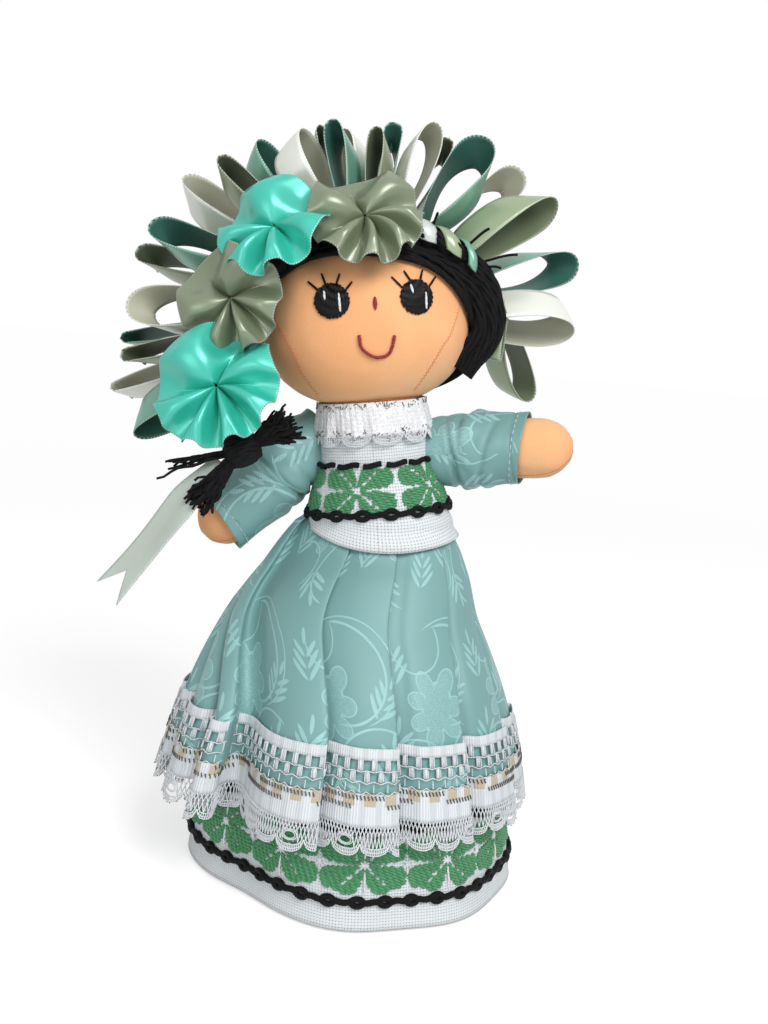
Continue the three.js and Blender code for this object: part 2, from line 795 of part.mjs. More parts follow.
// Height and outer radius of each ring of cloth, from the hem up.
const overskirtLevels = [
  [overskirtHemZ, overskirtHemRadius],
  [laceTopZ, overskirtLaceTopRadius],
  [overskirtHipZ, overskirtHipRadius],
  [overskirtGatherZ, overskirtGatherRadius],
  [overskirtWaistZ, overskirtWaistRadius],
  [overskirtTopZ, waistHalfWidth - clothWall],
];
const laceLevels = [
  [laceHemZ, underskirtLaceRadius + gap + 2 * chainRadius + laceStandOff],
  [overskirtHemZ, overskirtHemRadius + gap + clothWall],
  [laceTopZ, overskirtLaceTopRadius + gap + clothWall],
];
const underskirtLevels = [
  [0, underskirtHemRadius],
  [laceHemZ, underskirtLaceRadius],
  [underskirtKneeZ, underskirtKneeRadius],
  [underskirtHipZ, underskirtHipRadius],
  [underskirtTopZ, underskirtTopRadius],
];
const underskirtRadius = (height) => radiusOn(underskirtLevels, height);

// Cloth of one wall through rings of given height and radius, in folds.
function hungCloth(levels, segments, cloth) {
  const heights = levels.map(([height]) => height);
  const profile = clothProfile((height) => radiusOn(levels, height), heights, clothWall);
  return solid(hung(turned(profile, segments), cloth));
}

// The upper body and everything above the waist seam, in the doll's frame, as the skirts meet it.
function waistRoom() {
  const side = 2 * waistHalfWidth;
  const seamZ = waistZ - gap;
  const plate = new THREE.Shape()
    .moveTo(-side, seamZ)
    .lineTo(side, seamZ)
    .lineTo(side, neckTopZ)
    .lineTo(-side, neckTopZ);
  const above = pushed(plate, -side, 2 * side);
  const body = torsoShape(gap);
  return solid(above.applyMatrix4(upper.matrixWorld)).add(solid(body.applyMatrix4(upper.matrixWorld)));
}

function makeOverskirt() {
  const segments = pleatCount * 4;
  const cloth = hungCloth(overskirtLevels, segments, overskirtCloth);
  addPiece(doll, "overskirt", cloth.subtract(waistRoom()), "brocade");
  addPiece(doll, "skirt_lace", hungCloth(laceLevels, segments, overskirtCloth), "lace");
}

function makeUnderskirt() {
  const cloth = hungCloth(underskirtLevels, skirtSegments, underskirtCloth);
  addPiece(doll, "underskirt", cloth.subtract(waistRoom()), "white");

  const inside = clothWall + gap;
  const between = underskirtLevels.filter(([height]) => height > liningHemZ && height < liningTopZ);
  const liningHeights = [liningHemZ, ...between.map(([height]) => height), liningTopZ];
  const liningLevels = liningHeights.map((height) => [height, underskirtRadius(height) - inside]);
  addPiece(doll, "underskirt_lining", hungCloth(liningLevels, skirtSegments, underskirtCloth), "lining");

  const against = (height) => underskirtRadius(height) + gap;
  const chains = { skirt_chain_lower: lowerSkirtChainZ, skirt_chain_upper: upperSkirtChainZ };
  for (const [name, height] of Object.entries(chains)) {
    const ring = chainRing(against, height, skirtSegments);
    addPiece(doll, name, solid(hung(ring, underskirtCloth)), "black");
  }
}

// The doll

makeHead();
makeFace();
makeTorso();
makeBodice();
makeCollar();
makeBodiceChains();
makeArm("left", shoulders.left, armDirection(1, leftArmDroop, leftArmForward), leftSleeveReach);
makeArm("right", shoulders.right, armDirection(-1, rightArmDroop, rightArmForward), rightSleeveReach);
makeLeg("left", hips.left);
makeLeg("right", hips.right);
makeOverskirt();
makeUnderskirt();
makeBraids();
makeBraidEnds();
makeRosettes();
makeLoops();

// The origin lies on the ground under the middle of the whole doll.
const extent = new THREE.Box3().setFromObject(doll, true);
const middle = extent.getCenter(new THREE.Vector3());
doll.position.set(-middle.x, -middle.y, -extent.min.z);

export default doll;
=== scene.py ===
# %% [markdown]
# # A rag doll in satin ribbon, lace and brocade
# The doll is about 31 cm tall. It is cotton stuffed with loose fibre, with yarn hair, a headdress of
# ribbon loops and gathered rosettes, a stitched bodice and two skirts. The CAD frame gives every piece
# its place and the bodies that turn at the joints. This lesson dresses that frame, one piece at a time.

# %% Load the frame
import math

import bpy
import numpy as np
from mathutils import Matrix, Vector
from mathutils.bvhtree import BVHTree


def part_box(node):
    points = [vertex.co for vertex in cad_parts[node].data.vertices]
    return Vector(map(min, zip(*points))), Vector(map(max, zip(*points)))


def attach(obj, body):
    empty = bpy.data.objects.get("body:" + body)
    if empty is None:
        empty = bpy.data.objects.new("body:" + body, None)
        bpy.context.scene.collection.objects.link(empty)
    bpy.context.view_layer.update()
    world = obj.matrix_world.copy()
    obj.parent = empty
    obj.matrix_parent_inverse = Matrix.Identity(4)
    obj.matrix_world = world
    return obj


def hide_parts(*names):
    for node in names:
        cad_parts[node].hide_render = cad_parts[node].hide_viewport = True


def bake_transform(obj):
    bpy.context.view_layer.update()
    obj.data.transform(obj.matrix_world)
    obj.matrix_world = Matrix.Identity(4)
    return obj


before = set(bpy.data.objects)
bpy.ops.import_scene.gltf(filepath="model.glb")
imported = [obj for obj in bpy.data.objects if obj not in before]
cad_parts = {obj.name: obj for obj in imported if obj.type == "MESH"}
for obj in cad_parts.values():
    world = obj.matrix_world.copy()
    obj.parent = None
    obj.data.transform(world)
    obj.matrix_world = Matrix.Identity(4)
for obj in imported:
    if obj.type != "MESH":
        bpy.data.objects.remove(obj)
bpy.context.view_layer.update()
MM = 0.001

# %% [markdown]
# ## Three places to work in
# The doll stands upright, its upper body leans to one side and its head is turned a little. Each has a
# frame of its own, so that a collar or an eye is written in the doll's own upright millimetres and one
# matrix then carries it to where it is. The legs stand evenly about the middle, so they give that.

# %% Frames of the doll, the upper body and the head
WAIST_HEIGHT = 144.0
LEAN = math.radians(-9)
HEAD_TURN = math.radians(8)
leg_edges = [corner.x for leg in ("leg_left", "leg_right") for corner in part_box(leg)]
DOLL = Matrix.Translation((sum(leg_edges) / 4 / MM, 0, 0))
UPPER = (
    DOLL
    @ Matrix.Translation((0, 0, WAIST_HEIGHT))
    @ Matrix.Rotation(LEAN, 4, "Y")
    @ Matrix.Translation((0, 0, -WAIST_HEIGHT))
)
HEAD = UPPER @ Matrix.Rotation(HEAD_TURN, 4, "Z")


def placed(points, place):
    """Points in a frame's millimetres, as millimetres of the row frame."""
    turn = np.array(place)
    return np.asarray(points, float) @ turn[:3, :3].T + turn[:3, 3]


print("middle of the doll at x =", round(DOLL.translation.x, 2), "mm")

# %% [markdown]
# ## Small tools for meshes
# Cloth is a grid of points with a flat coordinate for each, so that a weave or a woven flower lies on
# the cloth as it does before it is sewn. The flat coordinates are kept in metres in the UV map.

# %% Meshes from grids of points
def unit(vectors):
    """Vectors along the last axis, each of length one."""
    vectors = np.asarray(vectors, float)
    return vectors / np.maximum(np.linalg.norm(vectors, axis=-1, keepdims=True), 1e-9)


def smooth_step(value):
    value = np.clip(value, 0, 1)
    return value * value * (3 - 2 * value)


def length_along(line):
    """How far along a line each of its points is."""
    return np.concatenate([[0], np.cumsum(np.linalg.norm(np.diff(line, axis=0), axis=1))])


def along_table(table, at):
    """A smooth value from a table of (place, value), read at any places."""
    place, value = np.array(table, float).T
    slope = np.gradient(value, place)
    at = np.clip(at, place[0], place[-1])
    left = np.clip(np.searchsorted(place, at, side="right") - 1, 0, len(place) - 2)
    step = place[left + 1] - place[left]
    t = (at - place[left]) / step
    return (
        (2 * t**3 - 3 * t**2 + 1) * value[left]
        + (t**3 - 2 * t**2 + t) * step * slope[left]
        + (3 * t**2 - 2 * t**3) * value[left + 1]
        + (t**3 - t**2) * step * slope[left + 1]
    )


def curve_through(points, steps, closed=False):
    """A smooth line through the points, with a number of steps between each two."""
    points = np.asarray(points, float)
    if closed:
        ring = np.concatenate([points[-1:], points, points[:2]])
    else:
        ring = np.concatenate([2 * points[:1] - points[1:2], points, 2 * points[-1:] - points[-2:-1]])
    t = np.linspace(0, 1, steps, endpoint=False)[:, None]
    pieces = [
        0.5 * (2 * b + (c - a) * t + (2 * a - 5 * b + 4 * c - d) * t**2 + (3 * b - a - 3 * c + d) * t**3)
        for a, b, c, d in zip(ring, ring[1:], ring[2:], ring[3:])
    ]
    return np.concatenate(pieces if closed else pieces + [points[-1:]])


def new_object(name, data):
    made = bpy.data.objects.new(name, data)
    bpy.context.collection.objects.link(made)
    return made


def mesh_piece(name, points, faces, materials=(), flat=None):
    """A mesh object from points in millimetres of the row frame; flat is a pair of metres per corner."""
    mesh = bpy.data.meshes.new(name)
    mesh.from_pydata((np.asarray(points, float) * MM).tolist(), [], [list(map(int, f)) for f in faces])
    if flat is not None:
        layer = mesh.uv_layers.new(name="flat")
        layer.data.foreach_set("uv", np.asarray(flat, np.float32).ravel())
    mesh.shade_smooth()
    for material in materials:
        mesh.materials.append(material)
    return new_object(name, mesh)


def grid_faces(rows, columns, closed):
    """Faces of a grid, and which row and column each corner reads its flat coordinate from."""
    row, column = np.meshgrid(
        np.arange(rows - 1), np.arange(columns if closed else columns - 1), indexing="ij"
    )
    row, column = row.ravel(), column.ravel()
    corner_rows = np.stack([row, row, row + 1, row + 1], -1)
    corner_columns = np.stack([column, column + 1, column + 1, column], -1)
    return corner_rows * columns + corner_columns % columns, corner_rows, corner_columns


def thicken(piece, thickness, back=False):
    """Gives a sheet its thickness in millimetres; the back and the rim may use the next material."""
    wall = piece.modifiers.new("thickness", "SOLIDIFY")
    wall.thickness = thickness * MM
    wall.offset = -1.0
    wall.use_even_offset = False
    if back:
        wall.material_offset = 1
    return piece


def grid_piece(name, points, along, across, materials, thickness, closed=False):
    """A sheet from rows of points; along and across are its flat coordinates in millimetres."""
    rows, columns = points.shape[:2]
    faces, corner_rows, corner_columns = grid_faces(rows, columns, closed)
    flat_grids = (np.broadcast_to(read, (rows, columns + closed)) for read in (along, across))
    flat = [read[corner_rows, corner_columns] for read in flat_grids]
    piece = mesh_piece(name, points.reshape(-1, 3), faces, materials, np.stack(flat, -1) * MM)
    return thicken(piece, thickness, back=len(materials) > 1)


def size_of(piece):
    """Width, depth and height in whole millimetres."""
    return tuple(round(v / MM) for v in piece.dimensions)


def applied(piece):
    """Gives a piece the mesh that its modifiers make."""
    graph = bpy.context.evaluated_depsgraph_get()
    whole = bpy.data.meshes.new_from_object(piece.evaluated_get(graph))
    piece.modifiers.clear()
    piece.data = whole
    return piece


def joined(name, pieces):
    """Several pieces as one mesh object, with their modifiers applied."""
    for piece in pieces:
        if piece.modifiers:
            applied(piece)
    with bpy.context.temp_override(
        active_object=pieces[0], selected_editable_objects=pieces, selected_objects=pieces
    ):
        bpy.ops.object.join()
    pieces[0].name = name
    return pieces[0]


# %% [markdown]
# ## Small tools for node trees
# Materials and Geometry Nodes are both trees of nodes. An output of a node can be added, multiplied and
# compared as a number can, and each such step adds the node that works it out. So a finish below reads
# as a list of formulas.

# %% Node helpers
def step(operation):
    """What an output does with a number or with another output."""
    return lambda self, other: calc(operation, self, other)


class Output:
    """What a node puts out."""

    def __init__(self, tree, socket):
        self.tree, self.socket = tree, socket

    __add__, __sub__, __mul__ = step("ADD"), step("SUBTRACT"), step("MULTIPLY")
    __truediv__, __gt__, __lt__ = step("DIVIDE"), step("GREATER_THAN"), step("LESS_THAN")

    def __rsub__(self, other):
        return calc("SUBTRACT", other, self)


def connect(tree, node, sockets):
    """Sets each input of a node to a value, or links it to an output."""
    for key, value in sockets.items():
        if isinstance(value, Output):
            tree.links.new(value.socket, node.inputs[key])
        else:
            node.inputs[key].default_value = value


def add(tree, kind, sockets=None, **settings):
    """A node with its settings and its inputs."""
    made = tree.nodes.new(kind)
    for name, value in settings.items():
        setattr(made, name, value)
    connect(tree, made, sockets or {})
    return made


def out_of(tree, kind, sockets=None, output=0, **settings):
    """One output of a new node."""
    return Output(tree, add(tree, kind, sockets, **settings).outputs[output])


def calc(operation, *values):
    """One step of arithmetic with outputs and numbers."""
    tree = next(value.tree for value in values if isinstance(value, Output))
    return out_of(tree, "ShaderNodeMath", dict(enumerate(values)), operation=operation)


def vector_calc(operation, *values):
    output = "Value" if operation in ("LENGTH", "DOT_PRODUCT") else "Vector"
    return out_of(
        values[0].tree, "ShaderNodeVectorMath", dict(enumerate(values)), output, operation=operation
    )


def parts_of(vector):
    """The first two parts of a vector."""
    split = add(vector.tree, "ShaderNodeSeparateXYZ", {0: vector})
    return Output(vector.tree, split.outputs[0]), Output(vector.tree, split.outputs[1])


def rise(value, low, high):
    """Nought below low, one above high and a smooth step between."""
    return out_of(
        value.tree, "ShaderNodeMapRange", {"Value": value, "From Min": low, "From Max": high}, "Result",
        interpolation_type="SMOOTHSTEP",
    )


def mix_colour(amount, first, second):
    made = add(amount.tree, "ShaderNodeMix", data_type="RGBA")
    named = {socket.identifier: number for number, socket in enumerate(made.inputs)}
    connect(
        amount.tree, made,
        {named["Factor_Float"]: amount, named["A_Color"]: first, named["B_Color"]: second},
    )
    return Output(amount.tree, next(s for s in made.outputs if s.identifier == "Result_Color"))


def srgb(code, share=1.0, paler=0.0):
    """A colour of six hexadecimal digits as the linear values that nodes use, made darker or paler."""
    parts = [int(code[i : i + 2], 16) / 255 for i in (0, 2, 4)]
    linear = [c / 12.92 if c <= 0.04045 else ((c + 0.055) / 1.055) ** 2.4 for c in parts]
    return tuple(min(1.0, paler + share * c) for c in linear) + (1.0,)


def effect(name, inputs, outputs):
    """An empty shader node group with named sockets: the group, what it is given, and its end node."""
    group = bpy.data.node_groups.new(name, "ShaderNodeTree")
    for label, kind, value in inputs:
        socket = group.interface.new_socket(label, in_out="INPUT", socket_type="NodeSocket" + kind)
        if value is not None:
            socket.default_value = value
    for label in outputs:
        kind = "Color" if label == "Colour" else "Float"
        group.interface.new_socket(label, in_out="OUTPUT", socket_type="NodeSocket" + kind)
    given = {s.name: Output(group, s) for s in group.nodes.new("NodeGroupInput").outputs}
    return group, given, group.nodes.new("NodeGroupOutput")


def use(tree, group, **sockets):
    """The named outputs of an effect group, placed in a material with its own values."""
    made = add(tree, "ShaderNodeGroup", sockets, node_tree=group)
    return {socket.name: Output(tree, socket) for socket in made.outputs}


def finish_of(name):
    """A new material with its tree and its Principled shader."""
    material = bpy.data.materials.new(name)
    material.use_nodes = True
    tree = material.node_tree
    return material, tree, tree.nodes["Principled BSDF"]


def bump(shader, height, distance, strength=1.0):
    """Raises a shader's surface by a height; the distance is in millimetres."""
    made = out_of(
        height.tree, "ShaderNodeBump", {"Height": height, "Distance": distance * MM, "Strength": strength}
    )
    connect(height.tree, shader, {"Normal": made})


def flat_map(tree):
    return out_of(tree, "ShaderNodeUVMap", uv_map="flat")


def object_place(tree):
    return out_of(tree, "ShaderNodeTexCoord", output="Object")

# %% [markdown]
# ## Effects that several finishes share
# A dyed cloth is never one flat colour, an open even-weave cloth shows a grid of small holes, painted
# darker as shade, yarn shows its two plies, with painted shade in the groove between them, and ribbon
# has fine threads and a row of small loops along each edge. Each is a node group, built once, with its
# sizes as inputs.

# %% Shared effect: uneven dye
dye, given, end = effect(
    "uneven dye",
    [("Place", "Vector", None), ("Colour", "Color", (1, 1, 1, 1)), ("Scale", "Float", 60.0),
     ("Amount", "Float", 0.1)],
    ["Colour"],
)
dye_noise = out_of(
    dye, "ShaderNodeTexNoise", {"Vector": given["Place"], "Scale": given["Scale"], "Detail": 3.0}, "Fac"
)
dye_shift = (dye_noise - 0.5) * (given["Amount"] * 2.0) + 1.0
connect(dye, end, {"Colour": vector_calc("MULTIPLY", given["Colour"], dye_shift)})
print("effect", dye.name)


def dyed(tree, colour, scale, amount):
    """A colour with the uneven dye in it."""
    return use(tree, dye, Place=object_place(tree), Colour=colour, Scale=scale, Amount=amount)["Colour"]


# %% Shared effect: even weave with open holes
weave, given, end = effect(
    "even weave",
    [("Flat", "Vector", None), ("Pitch", "Float", 0.0012), ("Open", "Float", 0.2)],
    ["Height", "Hole"],
)
corner_x, corner_y = (
    0.5 - calc("ABSOLUTE", calc("FRACT", part / given["Pitch"]) - 0.5) for part in parts_of(given["Flat"])
)
corner_far = calc("SQRT", corner_x * corner_x + corner_y * corner_y)
weave_hole = 1.0 - rise(corner_far, given["Open"] * 0.5, given["Open"])
weave_ridge = rise(corner_x, 0.0, 0.22) * rise(corner_y, 0.0, 0.22)
connect(weave, end, {"Height": weave_ridge - weave_hole, "Hole": weave_hole})
print("effect", weave.name)

# %% Shared effect: the plies of twisted yarn
plies, given, end = effect(
    "yarn plies",
    [("Along", "Float", 0.0), ("Ply", "Vector", None), ("Pitch", "Float", 0.006)],
    ["Height"],
)
plies_turn = given["Along"] / given["Pitch"] * (2 * math.pi)
ply_x, ply_y = parts_of(given["Ply"])
plies_wave = ply_x * calc("COSINE", plies_turn) + ply_y * calc("SINE", plies_turn)
connect(plies, end, {"Height": plies_wave * 0.5 + 0.5})
print("effect", plies.name)

# %% Shared effect: ribbon threads and edge loops
THREAD_PITCH = 0.0005
ribbon, given, end = effect(
    "ribbon face",
    [("Flat", "Vector", None), ("Width", "Float", 0.015), ("Edge", "Float", 0.0006),
     ("Pitch", "Float", 0.0011)],
    ["Height", "Picot", "Border"],
)
ribbon_x, ribbon_y = parts_of(given["Flat"])
ribbon_border = calc("MINIMUM", ribbon_y, given["Width"] - ribbon_y) < given["Edge"]
ribbon_picot = ribbon_border * (calc("FRACT", ribbon_x / given["Pitch"]) > 0.45)
ribbon_thread = calc("SINE", (ribbon_y + ribbon_x * 0.35) * (2 * math.pi / THREAD_PITCH))
connect(
    ribbon, end,
    {"Height": ribbon_thread * 0.12 + ribbon_picot, "Picot": ribbon_picot, "Border": ribbon_border},
)
print("effect", ribbon.name)

# %% [markdown]
# ## The woven flowers of the brocade
# Brocade shows flowers and ferns because its threads float on top there and catch the light. The
# finish gives the floats a smoother, shinier surface and also paints them paler, as painted sheen. The
# pattern is a repeat, so it is written once in flat coordinates: a lattice-filled bloom, curved stems
# and fans of narrow leaves. Every shape is an ellipse or an arc, and the nearest one wins.

# %% Shared effect: brocade repeat
REPEAT = (0.058, 0.074)
FLOAT_PITCH = 0.0009
BLOOM_RIM = 0.86
brocade_repeat, given, end = effect("brocade repeat", [("Flat", "Vector", None)], ["Figure", "Height"])
flat_x, flat_y = parts_of(given["Flat"])
row_slide = out_of(
    brocade_repeat, "ShaderNodeCombineXYZ", {0: calc("FLOOR", flat_y / REPEAT[1]) * (REPEAT[0] * 0.5)}
)
repeat_place = vector_calc(
    "MODULO",
    vector_calc(
        "ADD", vector_calc("ADD", given["Flat"], row_slide), (10 * REPEAT[0], 10 * REPEAT[1], 1.0)
    ),
    (*REPEAT, 1.0),
)


def from_centre(centre):
    """Where a place of the repeat is, seen from a centre in millimetres."""
    return vector_calc("SUBTRACT", repeat_place, (centre[0] * MM, centre[1] * MM, 0.0))


def brocade_oval(centre, angle, length, width):
    """How far out of an oval leaf or petal a place is; under one is inside."""
    turned = out_of(
        brocade_repeat, "ShaderNodeVectorRotate",
        {"Vector": from_centre(centre), "Angle": -math.radians(angle)}, rotation_type="Z_AXIS",
    )
    return vector_calc(
        "LENGTH", vector_calc("MULTIPLY", turned, (2 / length / MM, 2 / width / MM, 0.0))
    )


def brocade_arc(centre, radius, width, side):
    """A stem: part of a ring, kept on one side of a line through its centre."""
    moved = from_centre(centre)
    ring = calc("ABSOLUTE", vector_calc("LENGTH", moved) - radius * MM) / (width * MM / 2)
    past_end = vector_calc("DOT_PRODUCT", moved, (*side, 0.0)) * -260.0
    return ring + calc("MAXIMUM", past_end, 0.0)


brocade_near = brocade_arc((30, 52), 19, 1.1, (1, 0.1))
for stem in (
    ((33, 53), 20.5, 0.7, (0.9, 0.5)), ((44, 18), 15, 1.0, (-1, 0.5)), ((17, 64), 11, 0.8, (0.4, -1)),
    ((15, 17), 11, 0.9, (0.6, 1)),
):
    brocade_near = calc("MINIMUM", brocade_near, brocade_arc(*stem))
for spray_place, spray_angle, pairs in (
    ((44, 36), 62, 3), ((7, 48), 96, 3), ((28, 17), -64, 2), ((48, 12), 82, 3), ((6, 20), 84, 2),
):
    for pair in range(pairs + 1):
        for swing in ((-38, 38) if pair < pairs else (0,)):
            stem_way, leaf_way = (
                np.array([math.cos(math.radians(a)), math.sin(math.radians(a))])
                for a in (spray_angle, spray_angle + swing)
            )
            leaf_middle = spray_place + 4.2 * pair * stem_way + (5.6 - 0.6 * pair) * leaf_way
            leaf = brocade_oval(leaf_middle, spray_angle + swing, 9.6 - 1.1 * pair, 1.8)
            brocade_near = calc("MINIMUM", brocade_near, leaf)
bloom = brocade_oval((24, 40), 75, 21, 14)
for petal in (
    ((19.5, 49), 115, 11, 7), ((29, 49.5), 60, 11, 8), ((32, 40), 20, 9, 8), ((30, 32), -40, 10, 7),
    ((22, 29), -100, 10, 8), ((16.5, 35), -150, 9, 7), ((15.5, 43), 160, 8, 7),
):
    bloom = calc("MINIMUM", bloom, brocade_oval(*petal))
bloom_edge = (bloom > BLOOM_RIM) * (bloom < 1.0)
lattice = out_of(
    brocade_repeat, "ShaderNodeTexVoronoi", {"Vector": given["Flat"], "Scale": 900.0}, "Distance",
    feature="DISTANCE_TO_EDGE",
)
bloom_fill = (bloom < BLOOM_RIM) * ((lattice > 0.12) * 0.35 + 0.3)
figure = calc(
    "MAXIMUM", 1.0 - rise(brocade_near, 0.85, 1.15), calc("MAXIMUM", bloom_edge, bloom_fill)
)
float_lines = calc("SINE", (flat_x + flat_y) * (2 * math.pi / FLOAT_PITCH))
connect(brocade_repeat, end, {"Figure": figure, "Height": figure * (float_lines * 0.25 + 0.6)})
print("effect", brocade_repeat.name, "with", len(brocade_repeat.nodes), "nodes")

# %% [markdown]
# ## Finishes
# The colours come from the lit parts of each cloth. Satin is smooth floats of bright thread, so it has
# a soft wide highlight in its own colour; its back is duller cloth, and its back colour is darker still
# as painted shade for the shaded insides of loops. Cotton and yarn scatter light and show only their
# weave or their plies.

# %% Finish: satin ribbon, face and back
def satin(name, face, back, width):
    """Two materials for a ribbon: the bright face, and the duller back with its diagonal threads, whose
    darker colour is partly painted shade.
    """
    made = []
    for side, code, rough, metal, gloss, relief in (
        ("face", face, 0.32, 0.24, 0.9, 0.015), ("back", back, 0.5, 0.0, 0.4, 0.12),
    ):
        material, tree, shader = finish_of(f"{name} {side}")
        edge = use(tree, ribbon, Flat=flat_map(tree), Width=width * MM)
        colour = mix_colour(edge["Border"] * 0.55, dyed(tree, srgb(code), 45.0, 0.05), srgb(code, 0.62))
        colour = mix_colour(edge["Picot"] * 0.9, colour, srgb(code, 0.65, 0.35))
        connect(tree, shader, {
            "Base Color": colour, "Roughness": edge["Border"] * 0.3 + rough, "Metallic": metal,
            "Specular IOR Level": gloss,
        })
        bump(shader, edge["Height"], relief, 0.4)
        made.append(material)
    return made


LOOP_WIDTH = 15.0
ROSETTE_WIDTH = 25.0
# Each second colour is a ribbon's back: duller cloth, and darker still as painted shade for the shaded
# insides of the loops.
loop_satin = {
    "green": satin("green satin", "6FA48F", "35655A", LOOP_WIDTH),
    "cream": satin("cream satin", "E6E9DF", "C3C3B0", LOOP_WIDTH),
    "olive": satin("olive satin", "8C9678", "59624B", LOOP_WIDTH),
    "sage": satin("sage satin", "9AAA88", "6E7A5E", LOOP_WIDTH),
}
rosette_satin = {
    "teal": satin("teal satin", "36BCA8", "1C9A89", ROSETTE_WIDTH),
    "sage": satin("wide sage satin", "7B876D", "677259", ROSETTE_WIDTH),
}
tail_satin = satin("tail satin", "D2DAD4", "BAC5BC", LOOP_WIDTH)
print("satin ribbons", len(loop_satin) + len(rosette_satin) + 1)

# %% Finish: yarn and thread
def yarn_finish(name, code, pitch, rough=0.8, depth=0.25, fuzz=0.2, spread=0.5, gloss=0.5):
    """Twisted yarn: two plies that turn once in each pitch, with painted shade in the groove between them.
    """
    material, tree, shader = finish_of(name)
    twist = use(
        tree, plies, Along=out_of(tree, "ShaderNodeAttribute", output="Fac", attribute_name="along"),
        Ply=out_of(tree, "ShaderNodeAttribute", output="Vector", attribute_name="ply"), Pitch=pitch * MM,
    )["Height"]
    # The colour is darker by the spread share where the plies meet: painted shade in the groove.
    connect(tree, shader, {
        "Base Color": mix_colour(twist, srgb(code, spread), dyed(tree, srgb(code), 300.0, 0.15)),
        "Roughness": rough, "Specular IOR Level": gloss, "Sheen Weight": fuzz, "Sheen Roughness": 0.5,
    })
    bump(shader, twist, depth)
    return material


black_yarn = yarn_finish("black yarn", "0C0C0E", 7.0, depth=0.5, fuzz=0.01, gloss=0.2)
black_thread = yarn_finish("black thread", "050506", 3.0, rough=0.45, fuzz=0.01, gloss=0.22)
white_thread = yarn_finish("white thread", "F0F0F4", 2.0, rough=0.5, spread=0.8)
red_thread = yarn_finish("red thread", "A0121F", 1.6, rough=0.55)
seam_thread = yarn_finish("seam thread", "CF6A48", 0.8, rough=0.7, spread=0.95, depth=0.02)
green_thread = yarn_finish("green thread", "4A9966", 2.4, rough=0.65, depth=0.15, spread=0.72)
lace_thread = yarn_finish("lace thread", "E4E8EC", 1.2, rough=0.6, depth=0.1, spread=0.82)
metal_thread = yarn_finish("dark metal thread", "4F4B4A", 1.0, rough=0.3, depth=0.1)
print("yarns and threads made")

# %% Finish: peach cotton
skin_cotton, tree, shader = finish_of("peach cotton")
skin_place = object_place(tree)
skin_threads = out_of(
    tree, "ShaderNodeTexNoise",
    {"Vector": vector_calc("MULTIPLY", skin_place, (1.0, 1.0, 0.25)), "Scale": 2600.0, "Detail": 1.0}, "Fac",
)
skin_blush = out_of(tree, "ShaderNodeTexNoise", {"Vector": skin_place, "Scale": 22.0}, "Fac")
skin_colour = mix_colour(rise(skin_blush, 0.35, 0.7), srgb("F6BF8C"), srgb("F1AE78"))
connect(tree, shader, {
    "Base Color": dyed(tree, skin_colour, 900.0, 0.05), "Roughness": 0.85, "Sheen Weight": 0.12,
})
bump(shader, skin_threads, 0.12, 0.5)
print("finish", skin_cotton.name)

# %% Finish: open even-weave cotton
def even_cotton(name, code, hole_shade, pitch, opening):
    material, tree, shader = finish_of(name)
    cloth = use(tree, weave, Flat=flat_map(tree), Pitch=pitch * MM, Open=opening)
    # The holes are painted darker, towards the second colour: painted shade in the holes of the weave.
    colour = mix_colour(cloth["Hole"] * 0.62, dyed(tree, srgb(code), 120.0, 0.03), srgb(hole_shade))
    connect(tree, shader, {"Base Color": colour, "Roughness": 0.9, "Sheen Weight": 0.1})
    bump(shader, cloth["Height"], 0.25, 0.7)
    return material


# The second colour of each cloth is the painted shade in its holes.
white_cotton = even_cotton("white even-weave cotton", "E2E7EA", "858B90", 1.25, 0.24)
cream_lining = even_cotton("cream lining cotton", "E9DFD0", "B8AB98", 0.6, 0.2)
print("finish", white_cotton.name, "and", cream_lining.name)

# %% Finish: brocade
brocade, tree, shader = finish_of("sea-green brocade")
flowers = use(tree, brocade_repeat, Flat=flat_map(tree))
ground = dyed(tree, srgb("749F9E"), 30.0, 0.05)
# The woven figure is the brocade's own pattern; mixing it towards the paler colour, in stripes along the
# floats, is painted sheen.
connect(tree, shader, {
    "Base Color": mix_colour(flowers["Height"], ground, srgb("A6D6D6")),
    "Roughness": flowers["Figure"] * -0.08 + 0.52, "Metallic": 0.06, "Sheen Weight": 0.08,
})
bump(shader, flowers["Height"], 0.2, 0.8)
print("finish", brocade.name)

# %% Finish: lace bands
# Close threads run across the band, and a row of tan squares runs along it.
# The grey between the close threads is painted shade, and blocks along the band are greyed too.
LACE_THREADS = 0.9 * MM
LACE_BLOCKS = 5.2 * MM
TAN_SQUARES = 7.0 * MM
TAN_ROW = (15.5 * MM, 20.5 * MM)
lace_tape, tree, shader = finish_of("lace bands")
tape_x, tape_y = parts_of(flat_map(tree))
tape_lines = calc("SINE", tape_x * (2 * math.pi / LACE_THREADS)) * 0.5 + 0.5
tape_blocks = calc("FRACT", tape_x / LACE_BLOCKS) > 0.62
tape_shade = calc("MAXIMUM", tape_lines * 0.35, tape_blocks * 0.4)
squares = (tape_y > TAN_ROW[0]) * (tape_y < TAN_ROW[1]) * (calc("FRACT", tape_x / TAN_SQUARES) > 0.45)
colour = mix_colour(tape_shade, srgb("E2E6EA"), srgb("A6B1B5"))
connect(tree, shader, {"Base Color": mix_colour(squares, colour, srgb("BFB4A0")), "Roughness": 0.7})
bump(shader, tape_lines, 0.2, 0.8)
print("finish", lace_tape.name)

# %% Finish: black felt
black_felt, tree, shader = finish_of("black felt")
felt_noise = out_of(tree, "ShaderNodeTexNoise", {"Vector": object_place(tree), "Scale": 900.0}, "Fac")
connect(tree, shader, {"Base Color": srgb("1A1A1C"), "Roughness": 0.95, "Sheen Weight": 0.2})
bump(shader, felt_noise, 0.3)
print("finish", black_felt.name)

